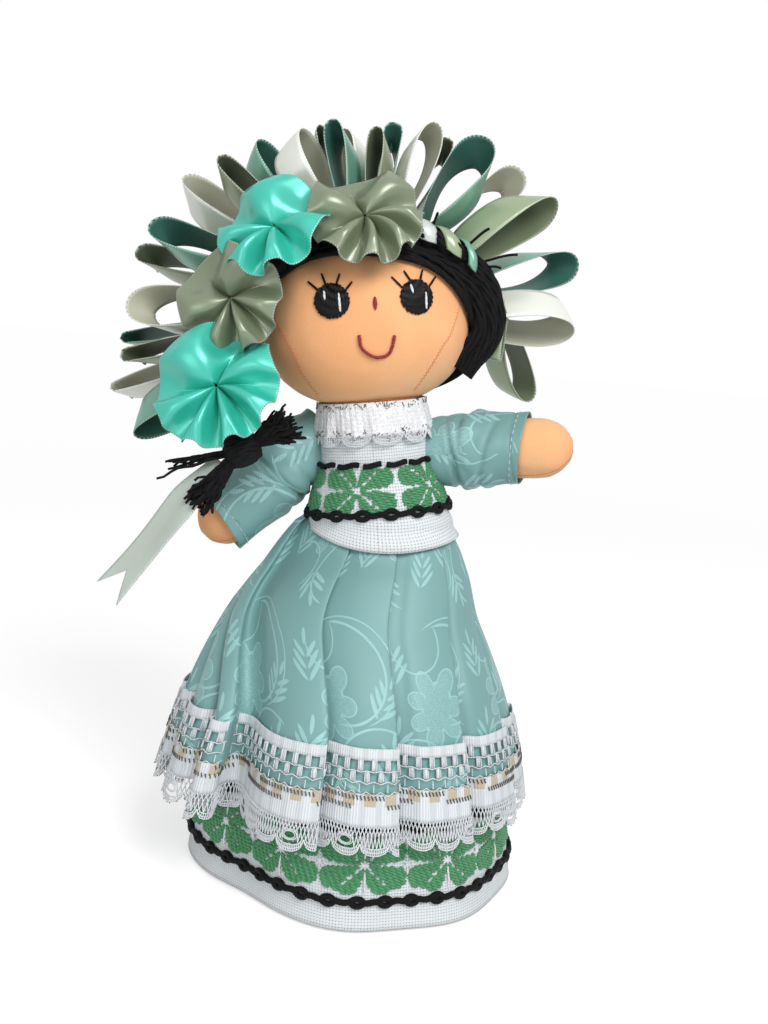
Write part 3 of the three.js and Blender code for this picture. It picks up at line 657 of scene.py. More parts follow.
# %% [markdown]
# ## Yarn along a path, with Geometry Nodes
# Hair, braids, stitches, lace threads and chain links are all round thread along a path. One tree makes
# them: it takes lines, turns each into a curve and sweeps a small circle along it. It also keeps how
# far along the yarn a place is and where it is around it, which the finish needs for the plies.

# %% Geometry Nodes tree for yarn
yarn_tree = bpy.data.node_groups.new("yarn along paths", "GeometryNodeTree")
yarn_tree.interface.new_socket("Paths", in_out="INPUT", socket_type="NodeSocketGeometry")
sides_socket = yarn_tree.interface.new_socket("Sides", in_out="INPUT", socket_type="NodeSocketInt")
yarn_socket = yarn_tree.interface.new_socket("Yarn", in_out="INPUT", socket_type="NodeSocketMaterial")
yarn_tree.interface.new_socket("Yarns", in_out="OUTPUT", socket_type="NodeSocketGeometry")
given = {s.name: Output(yarn_tree, s) for s in yarn_tree.nodes.new("NodeGroupInput").outputs}


def kept(geometry, value, kind):
    """Keeps a value on the points of a curve while it is swept."""
    capture = yarn_tree.nodes.new("GeometryNodeCaptureAttribute")
    capture.capture_items.new(kind, "value")
    connect(yarn_tree, capture, {"Geometry": geometry, 1: value})
    return Output(yarn_tree, capture.outputs["Geometry"]), Output(yarn_tree, capture.outputs[1])


yarn_lines = out_of(yarn_tree, "GeometryNodeMeshToCurve", {"Mesh": given["Paths"]})
yarn_ring = out_of(
    yarn_tree, "GeometryNodeCurvePrimitiveCircle", {"Resolution": given["Sides"], "Radius": 1.0}
)
spline_length = out_of(yarn_tree, "GeometryNodeSplineParameter", output="Length")
double_turn = out_of(yarn_tree, "GeometryNodeSplineParameter", output="Factor") * (4 * math.pi)
ply_vector = out_of(
    yarn_tree, "ShaderNodeCombineXYZ", {0: calc("COSINE", double_turn), 1: calc("SINE", double_turn)}
)
kept_lines, kept_length = kept(yarn_lines, spline_length, "FLOAT")
kept_ring, kept_ply = kept(yarn_ring, ply_vector, "VECTOR")
thickness = out_of(yarn_tree, "GeometryNodeInputNamedAttribute", {"Name": "thick"}, data_type="FLOAT")
swept = out_of(
    yarn_tree, "GeometryNodeCurveToMesh",
    {"Curve": kept_lines, "Profile Curve": kept_ring, "Scale": thickness, "Fill Caps": True},
)
for label, value, kind in (("along", kept_length, "FLOAT"), ("ply", kept_ply, "FLOAT_VECTOR")):
    swept = out_of(
        yarn_tree, "GeometryNodeStoreNamedAttribute", {"Geometry": swept, "Name": label, "Value": value},
        data_type=kind, domain="POINT",
    )
swept = out_of(yarn_tree, "GeometryNodeSetShadeSmooth", {"Geometry": swept})
swept = out_of(yarn_tree, "GeometryNodeRealizeInstances", {"Geometry": swept})
swept = out_of(yarn_tree, "GeometryNodeSetMaterial", {"Geometry": swept, "Material": given["Yarn"]})
connect(yarn_tree, yarn_tree.nodes.new("NodeGroupOutput"), {0: swept})
print("tree", yarn_tree.name)


def yarn_piece(name, paths, thick, material, sides=8, rings=False):
    """Yarn of a radius in millimetres along paths in the row frame; rings closes each path on itself.

    The radius is one value or one row of values for all paths, or a list with one for each path.
    """
    radii = thick if isinstance(thick, list) else [thick] * len(paths)
    radii = np.concatenate([np.broadcast_to(radius, len(path)) for radius, path in zip(radii, paths)])
    points, edges, first = np.concatenate(paths), [], 0
    for path in paths:
        number = np.arange(len(path) if rings else len(path) - 1)
        edges.append(np.stack([number, (number + 1) % len(path)], -1) + first)
        first += len(path)
    edges = np.concatenate(edges)
    mesh = bpy.data.meshes.new(name)
    mesh.vertices.add(len(points))
    mesh.vertices.foreach_set("co", (points * MM).astype(np.float32).ravel())
    mesh.edges.add(len(edges))
    mesh.edges.foreach_set("vertices", edges.astype(np.int32).ravel())
    thick_values = mesh.attributes.new("thick", "FLOAT", "POINT").data
    thick_values.foreach_set("value", (radii * MM).astype(np.float32))
    mesh.update()
    lines = new_object(name, mesh)
    nodes = lines.modifiers.new("yarn", "NODES")
    nodes.node_group = yarn_tree
    nodes[sides_socket.identifier] = sides
    nodes[yarn_socket.identifier] = material
    applied(lines)
    if not lines.data.materials:
        lines.data.materials.append(material)
    bpy.data.meshes.remove(mesh)
    return lines

# %% [markdown]
# ## The pleats of the overskirt
# The overskirt is a strip of brocade laid in knife pleats at the waist, so each panel lies over the
# next with a sharp edge. A section through it is one line that runs out, turns back under itself and
# runs on. That line is drawn as angle and depth, and every height uses it with its own radius. A cloth
# simulation would pleat it too, but not where this skirt has its pleats.

# %% The section of the pleats
SKIRT_HEM = 57.0
SKIRT_TOP = 149.0
PLEAT_DEPTH = 15.0
SECTION_SCALE = (66, 6.5)  # millimetres in a radian round the hem, and in one of depth
soft_folds = [(-80, 0.15), (-75, 0.0), (-72, 0.2), (-70.5, 0.75), (-68.5, 0.8), (-67, 0.3), (-63, 0.0),
              (-58, -0.08), (-54, 0.05), (-51.6, 0.45), (-50.6, 1.1), (-49.4, 1.5), (-47.8, 1.5),
              (-47, 1.0), (-46.7, 0.3), (-45.2, -0.15), (-42.5, -0.22), (-40, -0.05), (-39.2, 0.18),
              (-40, 0.45), (-42.6, 0.8), (-43.6, 1.15), (-42.4, 1.45), (-39, 1.5), (-34.5, 1.3),
              (-28, 0.8), (-21, 0.32), (-13, 0.02), (-7, -0.03), (-4, 0.1), (-5, 0.42),
              (-7.5, 0.62), (-4.5, 0.7), (0, 0.4), (5, 0.1), (10, 0.0)]
section_points = list(soft_folds)
for edge, depth in (
    (18.8, 0.7), (43.7, 0.75), (69, 0.8), (94, 0.75), (118, 0.6), (142, 0.75), (166, 0.6), (190, 0.8),
    (213, 0.6), (236, 0.75), (257, 0.6), (277, 0.7),
):
    section_points += [
        (edge - 2.5, 0.0), (edge, 0.08), (edge - 1.2, 0.45 * depth), (edge - 4.0, 0.85 * depth),
        (edge - 1.5, depth), (edge + 4.0, 0.75 * depth), (edge + 9.0, 0.2 * depth),
    ]
section_points = np.array(section_points, float)
section_points[:, 0] = np.radians(section_points[:, 0])


def closed_section(points, count):
    """The section as evenly spaced points: angle from the front and depth, round once."""
    first = points[:3] + [2 * math.pi, 0]
    last = points[-3:] - [2 * math.pi, 0]
    line = curve_through(np.concatenate([last, points, first]), 12)
    length = length_along(line * SECTION_SCALE)
    start, end = length[3 * 12], length[(len(points) + 3) * 12]
    at = np.linspace(start, end, count + 1)
    return np.stack([np.interp(at, length, line[:, 0]), np.interp(at, length, line[:, 1])], -1), end - start


SECTION, HEM_LENGTH = closed_section(section_points, 1600)
print("pleated hem is", round(HEM_LENGTH), "mm round, flat")

# %% Places on the overskirt and its lace
skirt_radius = [(57, 73), (74, 68), (109, 52.5), (126, 43), (135, 36.5), (141, 32.4), (145, 29.8),
                (149, 27.8)]
pleat_drift = [(-180, 0), (-112, 0), (-75, -20), (-46, -42), (-20, -22), (-4, -16), (19, -5), (44, 7),
               (69, 10), (100, 4), (130, 0), (180, 0)]
lace_radius = [(36, 79.5), (57, 74.6), (76, 69.2)]


def skirt_place(turn, height, radius_table):
    """Points of the doll frame; turn is the share of the way round the flat hem."""
    at = np.mod(turn, 1.0) * (len(SECTION) - 1)
    angle = np.interp(at, np.arange(len(SECTION)), SECTION[:, 0])
    depth = np.interp(at, np.arange(len(SECTION)), SECTION[:, 1])
    drift_angle, drift = np.array(pleat_drift, float).T
    drift = np.interp(np.mod(np.degrees(angle) + 180, 360) - 180, drift_angle, drift)
    angle = angle + np.radians(drift) * smooth_step((height - 72) / 72)
    fall = np.maximum(0, (WAIST_HEIGHT - height) / WAIST_HEIGHT)
    puff = np.exp(-(((np.mod(np.degrees(angle) + 180, 360) - 180 + 84) / 24) ** 2))
    gather = 1.8 + 1.2 * np.exp(-(((height - 132) / 12) ** 2))
    radius = along_table(radius_table, height) - depth * (PLEAT_DEPTH * fall + gather) + 1.0
    flatness = 0.78 + 0.22 * smooth_step((WAIST_HEIGHT - height) / 60)
    flatness = flatness - 0.06 * smooth_step((height - 130) / 9) * (np.cos(angle) > 0) * np.cos(angle)
    lean = -7 * smooth_step((WAIST_HEIGHT - height) / 35)
    sway = 0.9 * np.sin(3 * angle + height * 0.05) * fall
    radius = radius + 4.5 * puff * smooth_step((height - 112) / 26) * smooth_step((150 - height) / 6)
    across = (radius + sway) * np.sin(angle)
    waist_tilt = 0.052 * across * smooth_step((height - 104) / 40)
    waist_tilt = waist_tilt + 4.5 * puff * smooth_step((height - 126) / 16)
    return np.stack(
        [across + lean, -(radius + sway) * flatness * np.cos(angle), height + waist_tilt], -1
    )


def lifted(surface, turn, height, lift, place=DOLL):
    """Points on a surface of a frame, moved outwards along its normal by a lift in millimetres."""
    turn, height = np.broadcast_arrays(np.asarray(turn, float), np.asarray(height, float))
    here = surface(turn, height)
    side = surface(turn + 4e-4, height) - surface(turn - 4e-4, height)
    up = surface(turn, height + 0.2) - surface(turn, height - 0.2)
    return placed(here + unit(np.cross(side, up)) * np.asarray(lift, float)[..., None], place)


def round_piece(name, surface, place, columns, levels, length, across, material, thickness):
    """A sheet that goes all the way round, with its flat length and its flat place for each level."""
    turns = np.arange(columns + 1) / columns
    points = placed(surface(*np.meshgrid(turns[:-1], levels)), place)
    return grid_piece(name, points, turns * length, across[:, None], [material], thickness, closed=True)


def on_skirt(turn, height):
    return skirt_place(turn, height, skirt_radius)


def on_lace(turn, height):
    return skirt_place(turn, height, lace_radius)


# %% Overskirt
SKIRT_COLUMNS, SKIRT_ROWS = 900, 46
heights = SKIRT_HEM + (SKIRT_TOP - SKIRT_HEM) * np.linspace(0, 1, SKIRT_ROWS) ** 1.05
skirt_slope = length_along(np.stack([heights, along_table(skirt_radius, heights)], -1))
repeats = round(HEM_LENGTH / (REPEAT[0] / MM))
overskirt = round_piece(
    "brocade_overskirt", on_skirt, DOLL, SKIRT_COLUMNS, heights, repeats * REPEAT[0] / MM, skirt_slope + 8.0,
    brocade, 0.4,
)
print("overskirt: hem", round(HEM_LENGTH), "mm, length", round(skirt_slope[-1]), "mm")

# %% [markdown]
# ## The lace of the hem
# The lace is one band with five patterns: a close tape, three rows of open cells, a line of dark metal
# thread, close upright threads and a scalloped edge. The close parts are a sheet. The open parts are
# real threads, so that the satin and the stitched skirt show between them.

# %% Lace: the close bands
LACE_TOP = 74.5
LACE_NET = (58.5, 70.3)
LACE_CLOSE = 46.5


def lace_band(name, low, high, count):
    levels = np.linspace(low, high, count)
    return round_piece(
        name, on_lace, DOLL, 1000, levels, HEM_LENGTH, LACE_TOP - levels, lace_tape, 0.35
    )


lace_bands = joined(
    "lace_close_bands",
    [lace_band("lace_tape", LACE_NET[1], LACE_TOP, 4), lace_band("lace_close", LACE_CLOSE, LACE_NET[0], 8)],
)

# %% Lace: the open cells
CELL = 4.8
cells = round(HEM_LENGTH / CELL)
net_paths = []
net_levels = np.linspace(LACE_NET[1], LACE_NET[0], 4)
number = np.arange(2 * cells + 1)
for row, (level, swing) in enumerate(zip(net_levels[1:], (0.25, 0.5, 0.8))):
    zigzag = level + swing * np.where((number + row) % 2 == 1, 1, -1)
    net_paths.append(lifted(on_lace, number / (2 * cells), zigzag, 0.2))
block_points, block_flat = [], []
for row, (upper, lower) in enumerate(zip(net_levels, net_levels[1:])):
    top = upper if row == 0 else upper - 0.6
    half = (0.95, 0.75, None)[row]
    for turn in (np.arange(cells) + (0.5 if row % 2 else 0.0)) / cells:
        for shift in ((-0.75, 0.75) if row < 2 else (0.0,)):
            upright = np.linspace(top, lower + 0.6, 3)
            net_paths.append(lifted(on_lace, turn + shift / HEM_LENGTH, upright, 0.25))
        if half:
            corner_turn = turn + np.array([-half, half, half, -half]) / HEM_LENGTH
            corner_level = np.array([lower, lower, upper, upper]) + 0.2
            block_points.append(lifted(on_lace, corner_turn, corner_level, 0.1))
            block_flat.append(np.stack([corner_turn * HEM_LENGTH, LACE_TOP - corner_level], -1))
lace_net = yarn_piece("lace_net", net_paths, 0.22, lace_thread, sides=5)
lace_blocks = mesh_piece(
    "lace_blocks", np.concatenate(block_points), np.arange(4 * len(block_points)).reshape(-1, 4),
    [lace_tape], np.concatenate(block_flat) * MM,
)
thicken(lace_blocks, 0.3)
print("lace net:", cells, "cells round,", len(net_paths), "threads")

# %% Lace: dark metal thread and the scalloped edge
DASH = 1.25
dash_paths = []
for dash_row, dash_ends in enumerate(((57.9, 56.3), (54.6, 53.0))):
    number = np.arange(round(HEM_LENGTH / DASH))
    for dash in number[(number // 9 + dash_row) % 3 != 2]:
        turn = (dash + 0.3 * dash_row) * DASH / HEM_LENGTH
        dash_paths.append(lifted(on_lace, [turn, turn + 0.5 / HEM_LENGTH], dash_ends, 0.3))
metal_dashes = yarn_piece("lace_metal_dashes", dash_paths, 0.26, metal_thread, sides=5)

SCALLOP = 9.4
scallops = round(HEM_LENGTH / SCALLOP)
edge_paths, edge_metal = [], []


def scallop_arc(middle, half_width, drop, top, count):
    """A hanging arc of the edge, from one side of a scallop to the other."""
    t = np.linspace(-1, 1, count)
    return middle + t * half_width, top - drop * np.sqrt(np.clip(1 - np.abs(t) ** 2.3, 0, 1))


def edge_thread(across, levels, lift=0.15):
    """One thread of the scalloped edge, in scallops across and millimetres up."""
    return lifted(on_lace, np.asarray(across) / scallops, levels, lift)


for scallop in range(scallops):
    middle = scallop + 0.5
    wobble = 0.5 * math.sin(scallop * 2.3)
    for half_width, drop, top in ((0.5, 4.3, 40.6), (0.5, 3.6, 40.9), (0.45, 2.3, 41.0)):
        edge_paths.append(edge_thread(*scallop_arc(middle, half_width, drop + wobble, top, 15)))
    outer = scallop_arc(middle, 0.5, 4.3 + wobble, 40.6, 17)
    inner = scallop_arc(middle, 0.45, 2.3 + wobble, 41.0, 17)
    rim = scallop_arc(middle, 0.5, 4.6 + wobble, 40.6, 27)
    for start in range(1, 25, 3):
        if (scallop * 5 + start) % 7 < 4:
            edge_metal.append(edge_thread(rim[0][start : start + 2], rim[1][start : start + 2], 0.3))
    for a, b, c, d in list(zip(*outer, *inner))[1:-1]:
        edge_paths.append(edge_thread([a, c], [b, d], 0.1))
    around = np.linspace(0, 2 * math.pi, 13)
    eyelet = scallop % 3 == 0
    for grow in (1.0, 1.35) if eyelet else ():
        eye_across, eye_level = middle + 0.2 * grow * np.cos(around), 41.8 + 1.35 * grow * np.sin(around)
        edge_paths.append(edge_thread(eye_across, eye_level, 0.2))
    for spoke in range(8):
        lower = middle - 0.5 + (spoke + 0.5) / 8
        low = 41.2 - 2.1 * math.sqrt(max(0.0, 1 - abs((lower - middle) / 0.45) ** 2.3))
        if eyelet and abs(lower - middle) < 0.2:
            low = 43.3
        for upper in (lower - 1.3 / 8, lower + 1.3 / 8):
            edge_paths.append(edge_thread([lower, (lower + upper) / 2, upper], [low, 44.6, 46.8]))
lace_edge = yarn_piece("lace_scallops", edge_paths, 0.24, lace_thread, sides=4)
edge_glints = yarn_piece("lace_edge_metal", edge_metal, 0.2, metal_thread, sides=4)
print("lace edge:", scallops, "scallops,", len(edge_paths), "threads")

# %% [markdown]
# ## The stitched underskirt
# Under the brocade hangs a plain flared skirt of open even-weave cotton. The open weave is what makes
# counted stitching easy, and a cream lining shows below its hem. It has only soft waves, so a radius
# for each height and a wave round it give its shape.

# %% Underskirt and lining
UNDER_TOP = 131.0
under_radius = [(0, 70.5), (36, 65), (72, 54), (102, 41), (131, 26)]


def under_place(turn, height, inside=0.0):
    """Points of the underskirt in the doll frame; turn goes round from the front."""
    angle = 2 * math.pi * turn
    fall = np.maximum(0, (UNDER_TOP - height) / UNDER_TOP)
    radius = along_table(under_radius, height) - inside
    radius = radius - 2.0 * fall * (1 - np.cos(8 * angle + 0.5 * np.sin(2 * angle))) / 2
    flat_side = np.exp(-(((np.mod(angle + math.pi, 2 * math.pi) - math.pi + 0.72) / 0.32) ** 2))
    radius = radius - 9.0 * fall * flat_side
    flatness = 0.78 + 0.22 * smooth_step((WAIST_HEIGHT - height) / 60)
    lean = -2.5 * np.sin(math.pi * height / UNDER_TOP)
    return np.stack(
        [radius * np.sin(angle) + lean, -radius * flatness * np.cos(angle), height + 0 * radius], -1
    )


UNDER_LENGTH = 2 * math.pi * 69.6


def round_sheet(name, low, high, rows, material, thickness, inside=0.0):
    levels = np.linspace(low, high, rows)
    return round_piece(
        name, lambda turn, height: under_place(turn, height, inside), DOLL, 320, levels, UNDER_LENGTH,
        levels * 1.08, material, thickness,
    )


underskirt = round_sheet("stitched_underskirt", 1.2, 130.0, 60, white_cotton, 0.6)
lining = round_sheet("cream_lining", 0.4, 108.0, 50, cream_lining, 0.4, inside=1.8)
print("underskirt hem", round(UNDER_LENGTH), "mm round")

# %% [markdown]
# ## Satin-stitched petals and black chain lines
# The flowers are filled with rows of short slanted stitches that leave a dashed white vein open. Each
# petal is an outline; lines across it are cut where they leave it, and each run becomes short stitches
# that start at another place in every row, as a hand would lay them. The chain is a thick black yarn
# with an open link at even distances.

# %% Stitches that fill an outline
def inside_outline(x, y, outline):
    """Which points lie inside a closed outline."""
    inside = np.zeros(x.shape, bool)
    for (x1, y1), (x2, y2) in zip(outline, np.roll(outline, -1, axis=0)):
        crosses = (y1 > y) != (y2 > y)
        with np.errstate(divide="ignore", invalid="ignore"):
            inside ^= crosses & (x < (x2 - x1) * (y - y1) / (y2 - y1) + x1)
    return inside


def fill_stitches(outline, slant, pitch, length, open_at=None):
    """Short slanted stitches that fill an outline in flat millimetres."""
    slant = math.radians(slant)
    go, over = np.array([math.cos(slant), math.sin(slant)]), np.array([-math.sin(slant), math.cos(slant)])
    made = []
    low, high = (outline @ over).min(), (outline @ over).max()
    for row, offset in enumerate(np.arange(low + pitch * 0.5, high, pitch)):
        step = np.arange((outline @ go).min() - 1, (outline @ go).max() + 1, 0.25)
        points = step[:, None] * go + offset * over
        keep = inside_outline(points[:, 0], points[:, 1], outline)
        if open_at is not None:
            keep &= ~open_at(points)
        beat = np.mod(step + (row % 3) * length / 3, length) < 0.25
        start = None
        for number in range(len(step) + 1):
            on = number < len(step) and keep[number]
            if start is not None and (not on or (beat[number] and number - start > 4)):
                if step[number - 1] - step[start] > 0.6:
                    made.append((points[start], points[number - 1]))
                start = number if on else None
            elif start is None and on:
                start = number
    return made


PETAL = np.array(
    [(0.3, 0.5), (0.5, 5.4), (2.6, 10.8), (7.2, 12.6), (10.6, 10.6), (14.8, 10.2), (16.9, 6.2), (15.2, 1.8),
     (7.8, 0.5)]
)


def petal_and_vein(right, up):
    """One petal of a flower of four, towards a corner, and a test for where its dashed vein is open."""
    outline = curve_through(PETAL * [right, up], 4, closed=True)
    vein = unit(PETAL[4] * [right, up])

    def vein_open(points):
        along = points @ vein
        across = points @ [-vein[1], vein[0]]
        return (np.abs(across) < 0.5) & (along < 12.0 * abs(right)) & (np.mod(along, 3.0) < 2.1)

    return outline, vein_open


def clover(wide, high, slant):
    """All stitches of one flower of four notched petals, about its middle."""
    made = []
    for right, up in ((wide, high), (-wide, high), (-wide, -high), (wide, -high)):
        outline, vein_open = petal_and_vein(right, up)
        made += fill_stitches(outline, slant, 1.0, 3.4, vein_open)
    return made


def sewn(surface, stitches, middle_turn, middle_height, round_length, lift, place=DOLL):
    """Flat stitches laid on a surface: each arches a little and sits lower at its ends, where it enters the
    cloth.
    """
    made = []
    for start, end in stitches:
        across, up = np.linspace(start, end, 4).T
        arch = lift * np.array([0.4, 1, 1, 0.4])
        made.append(
            lifted(surface, middle_turn + across / round_length, middle_height + up, arch, place)
        )
    return made


# %% Flowers of the underskirt
FLOWERS = 12
FLOWER_TURN = 0.0192
FLOWER_HEIGHT = 26.6
FLOWER_ROUND = 2 * math.pi * 65.0
STITCH_THICKNESS = (0.4, 0.6, 0.6, 0.4)
flower = clover(1.0, 0.89, -24)
star = (((0, 2.5), (0, 10.5)), ((0, -2.5), (0, -10.5)), ((-1.8, -1.2), (1.8, 1.2)),
        ((-1.8, 1.2), (1.8, -1.2)), ((-2.2, 0), (2.2, 0)), ((0, -2.2), (0, 2.2)))
small_star = (((-1.6, -1.6), (1.6, 1.6)), ((-1.6, 1.6), (1.6, -1.6)), ((0, -2.2), (0, 2.2)))
petal_paths, vein_paths = [], []
for number in range(FLOWERS):
    for paths, stitches, offset, lift in (
        (petal_paths, flower, 0.0, 0.55), (vein_paths, star, 0.0, 0.75), (vein_paths, small_star, 0.5, 0.6),
    ):
        turn = FLOWER_TURN + (number + offset) / FLOWERS
        paths += sewn(under_place, stitches, turn, FLOWER_HEIGHT, FLOWER_ROUND, lift)
skirt_flowers = yarn_piece("skirt_flowers", petal_paths, STITCH_THICKNESS, green_thread, sides=6)
skirt_veins = yarn_piece("skirt_flower_veins", vein_paths, 0.42, white_thread, sides=6)
print("skirt flowers:", len(petal_paths), "stitches")


# %% Black chain lines
CHAIN_PITCH = 11.0
LINK_WIDE, LINK_HIGH = 2.3, 1.45


def chain_paths(surface, height, round_length, lift, place=DOLL):
    """The bars and the open links of a chain-stitched line that goes round a surface."""
    bars, links = [], []
    count = round(round_length / CHAIN_PITCH)
    around = np.linspace(0, 2 * math.pi, 14, endpoint=False)
    half = 0.5 / count - (LINK_WIDE + 0.5) / round_length
    across = np.linspace(-half, half, 6)
    for number in range(count):
        middle = (number + 0.5) / count
        link_turn = middle + LINK_WIDE * np.cos(around) / round_length
        links.append(lifted(surface, link_turn, height + LINK_HIGH * np.sin(around), lift, place))
        wave = 0.25 * np.sin(number * 2.1 + across * round_length)
        bars.append(lifted(surface, middle + 0.5 / count + across, height + wave, lift, place))
    return bars, links


def chain_piece(name, bars, links, bar_radius, link_radius):
    made = [yarn_piece(name + "_bars", bars, bar_radius, black_yarn)]
    if links:
        made.append(yarn_piece(name + "_links", links, link_radius, black_yarn, rings=True))
    return joined(name, made)


skirt_chains = [
    chain_piece(name, *chain_paths(under_place, height, 2 * math.pi * radius, 0.9), 1.3, 1.2)
    for name, height, radius in (("skirt_chain_low", 12.6, 68), ("skirt_chain_high", 40.2, 62))
]
print("chains:", [chain.name for chain in skirt_chains])

# %% [markdown]
# ## Stuffing a cotton form
# Head, torso, arms and legs are sewn cotton filled with loose fibre, and the fibre pushes the cloth out
# evenly. Cloth with pressure inside does the same: a slightly small form is given an even mesh and
# blown up for a few frames. How far a point may go is capped, so that it stays where its pattern is.

# %% Stuffed forms
def closed_form(name, rings, bottom, top, material, place):
    """A closed form in a frame, from rings of points with a middle point at each end."""
    count, columns = rings.shape[:2]
    faces, _, _ = grid_faces(count, columns, True)
    points = placed(np.concatenate([rings.reshape(-1, 3), [bottom, top]]), place)
    number = np.arange(columns)
    following = (number + 1) % columns
    low = np.stack([following, number, np.full(columns, count * columns)], -1)
    last = (count - 1) * columns
    high = np.stack([last + number, last + following, np.full(columns, count * columns + 1)], -1)
    return mesh_piece(name, points, [*faces.tolist(), *low.tolist(), *high.tolist()], [material])


def corners_of(piece):
    return np.array([vertex.co for vertex in piece.data.vertices])


def move_corners(piece, points):
    piece.data.vertices.foreach_set("co", points.astype(np.float32).ravel())


SHRINK = 0.985
VOXEL = 4.0 * MM
PRESSURE = 4.0
FRAMES = 20


def stuffed(piece, cap):
    before = corners_of(piece)
    middle = before.mean(axis=0)
    move_corners(piece, middle + (before - middle) * SHRINK)
    even = piece.modifiers.new("even", "REMESH")
    even.mode = "VOXEL"
    even.voxel_size = VOXEL
    bpy.context.evaluated_depsgraph_get().update()
    applied(piece)
    rest = corners_of(piece)
    cloth = piece.modifiers.new("cloth", "CLOTH")
    cloth.settings.use_pressure = True
    cloth.settings.uniform_pressure_force = PRESSURE
    cloth.settings.effector_weights.gravity = 0
    for frame_number in range(1, FRAMES + 1):
        bpy.context.scene.frame_set(frame_number)
    applied(piece)
    move = corners_of(piece) - rest
    far = np.linalg.norm(move, axis=1, keepdims=True)
    move_corners(piece, rest + move * np.minimum(1, cap * MM / np.maximum(far, 1e-9)))
    bpy.context.scene.frame_set(1)
    smooth = piece.modifiers.new("smooth", "SUBSURF")
    smooth.levels = smooth.render_levels = 1
    applied(piece)
    piece.data.shade_smooth()
    return piece


# %% Torso
torso_width = [(120, 25), (129.5, 28.65), (139, 29.9), (148.5, 28.95), (158, 27), (174, 22.4),
               (186, 21.4), (200, 19.2)]
TORSO_DEPTH = 0.78


def torso_place(turn, height, out=0.0):
    """Points round the torso in the upper frame; out is how far a garment stands off it."""
    angle = 2 * math.pi * turn
    width = along_table(torso_width, height) + out
    depth = along_table(torso_width, height) * TORSO_DEPTH + out
    return np.stack([width * np.sin(angle), -depth * np.cos(angle), height + 0 * width], -1)


torso_turns, torso_heights = np.meshgrid(np.arange(64) / 64, np.linspace(120, 199.5, 26))
torso = closed_form(
    "stuffed_torso", torso_place(torso_turns, torso_heights, -3.0 * smooth_step((158 - torso_heights) / 9)),
    (0, 0, 117), (0, 0, 199.7), skin_cotton, UPPER,
)
print("torso", size_of(torso))

# %% Head
HEAD_MIDDLE, HEAD_RISE, HEAD_DROP = 231.0, 38.0, 34.0
HEAD_WIDE, HEAD_DEEP = 43.5, 32.0
HEAD_SQUARE = 2.25


def head_ring(level, grow=0.0):
    """Half width and half depth of the head at a level, grown by a layer on it."""
    reach = np.where(level >= HEAD_MIDDLE, HEAD_RISE, HEAD_DROP) + grow
    share = np.clip(np.abs(level - HEAD_MIDDLE) / reach, 0, 1)
    size = (1 - share**HEAD_SQUARE) ** (1 / HEAD_SQUARE)
    return (HEAD_WIDE + grow) * size, (HEAD_DEEP + grow) * size


rising = -np.cos(np.linspace(0, math.pi, 44)[1:-1])
head_levels = HEAD_MIDDLE + np.sign(rising) * np.abs(rising) ** (2 / HEAD_SQUARE) * np.where(
    rising < 0, HEAD_DROP, HEAD_RISE
)
head_turns = np.arange(72) / 72 * 2 * math.pi
wide, deep = (half[:, None] for half in head_ring(head_levels))
head_rings = np.stack(
    [wide * np.sin(head_turns), -deep * np.cos(head_turns), head_levels[:, None] + 0 * head_turns], -1
)
head = closed_form(
    "stuffed_head", head_rings, (0, 0, HEAD_MIDDLE - HEAD_DROP), (0, 0, HEAD_MIDDLE + HEAD_RISE),
    skin_cotton, HEAD,
)
stuffed(head, 1.6)
head_tree = BVHTree.FromObject(head, bpy.context.evaluated_depsgraph_get())
FACE_FRONT = np.array(-(HEAD.to_3x3() @ Vector((0, 1, 0))))
print("head", size_of(head))


def on_face(points, lift):
    """Points of the head's front seen square on, dropped onto the stuffed head and lifted off it."""
    made = []
    for x, z in np.atleast_2d(points):
        start = HEAD @ Vector((x, -80, z)) * MM
        place, normal, _, _ = head_tree.ray_cast(start, Vector(-FACE_FRONT))
        made.append(np.array(place + normal * lift * MM) / MM)
    return np.array(made)


# %% [markdown]
# ## The face
# Eyes, lashes, nose and mouth are thread sewn through the cotton. An eye is satin stitch: straight
# threads side by side in a round outline, slightly domed. The mouth is backstitch, a row of short
# overlapping stitches. The two seams of the head are a fine zigzag.

# %% Eyes with lashes and highlights
EYE_RADIUS = 6.5


def satin_disc(middle, radius, pitch, slant):
    """Straight threads across a disc, longest in the middle, with slightly uneven ends."""
    made = []
    c, s = math.cos(math.radians(slant)), math.sin(math.radians(slant))
    for row, offset in enumerate(np.arange(-radius + pitch / 2, radius, pitch)):
        half = math.sqrt(radius**2 - offset**2) + 0.35 * math.sin(row * 2.7)
        line = np.linspace(-half, half, 9)
        x, z = line * c - offset * s, line * s + offset * c
        dome = np.maximum(1.5 * (1 - (x**2 + z**2) / (radius + 0.6) ** 2), 0.0)
        made.append(on_face(np.stack([x, z], -1) + middle, 0.15) + FACE_FRONT * dome[:, None])
    return made


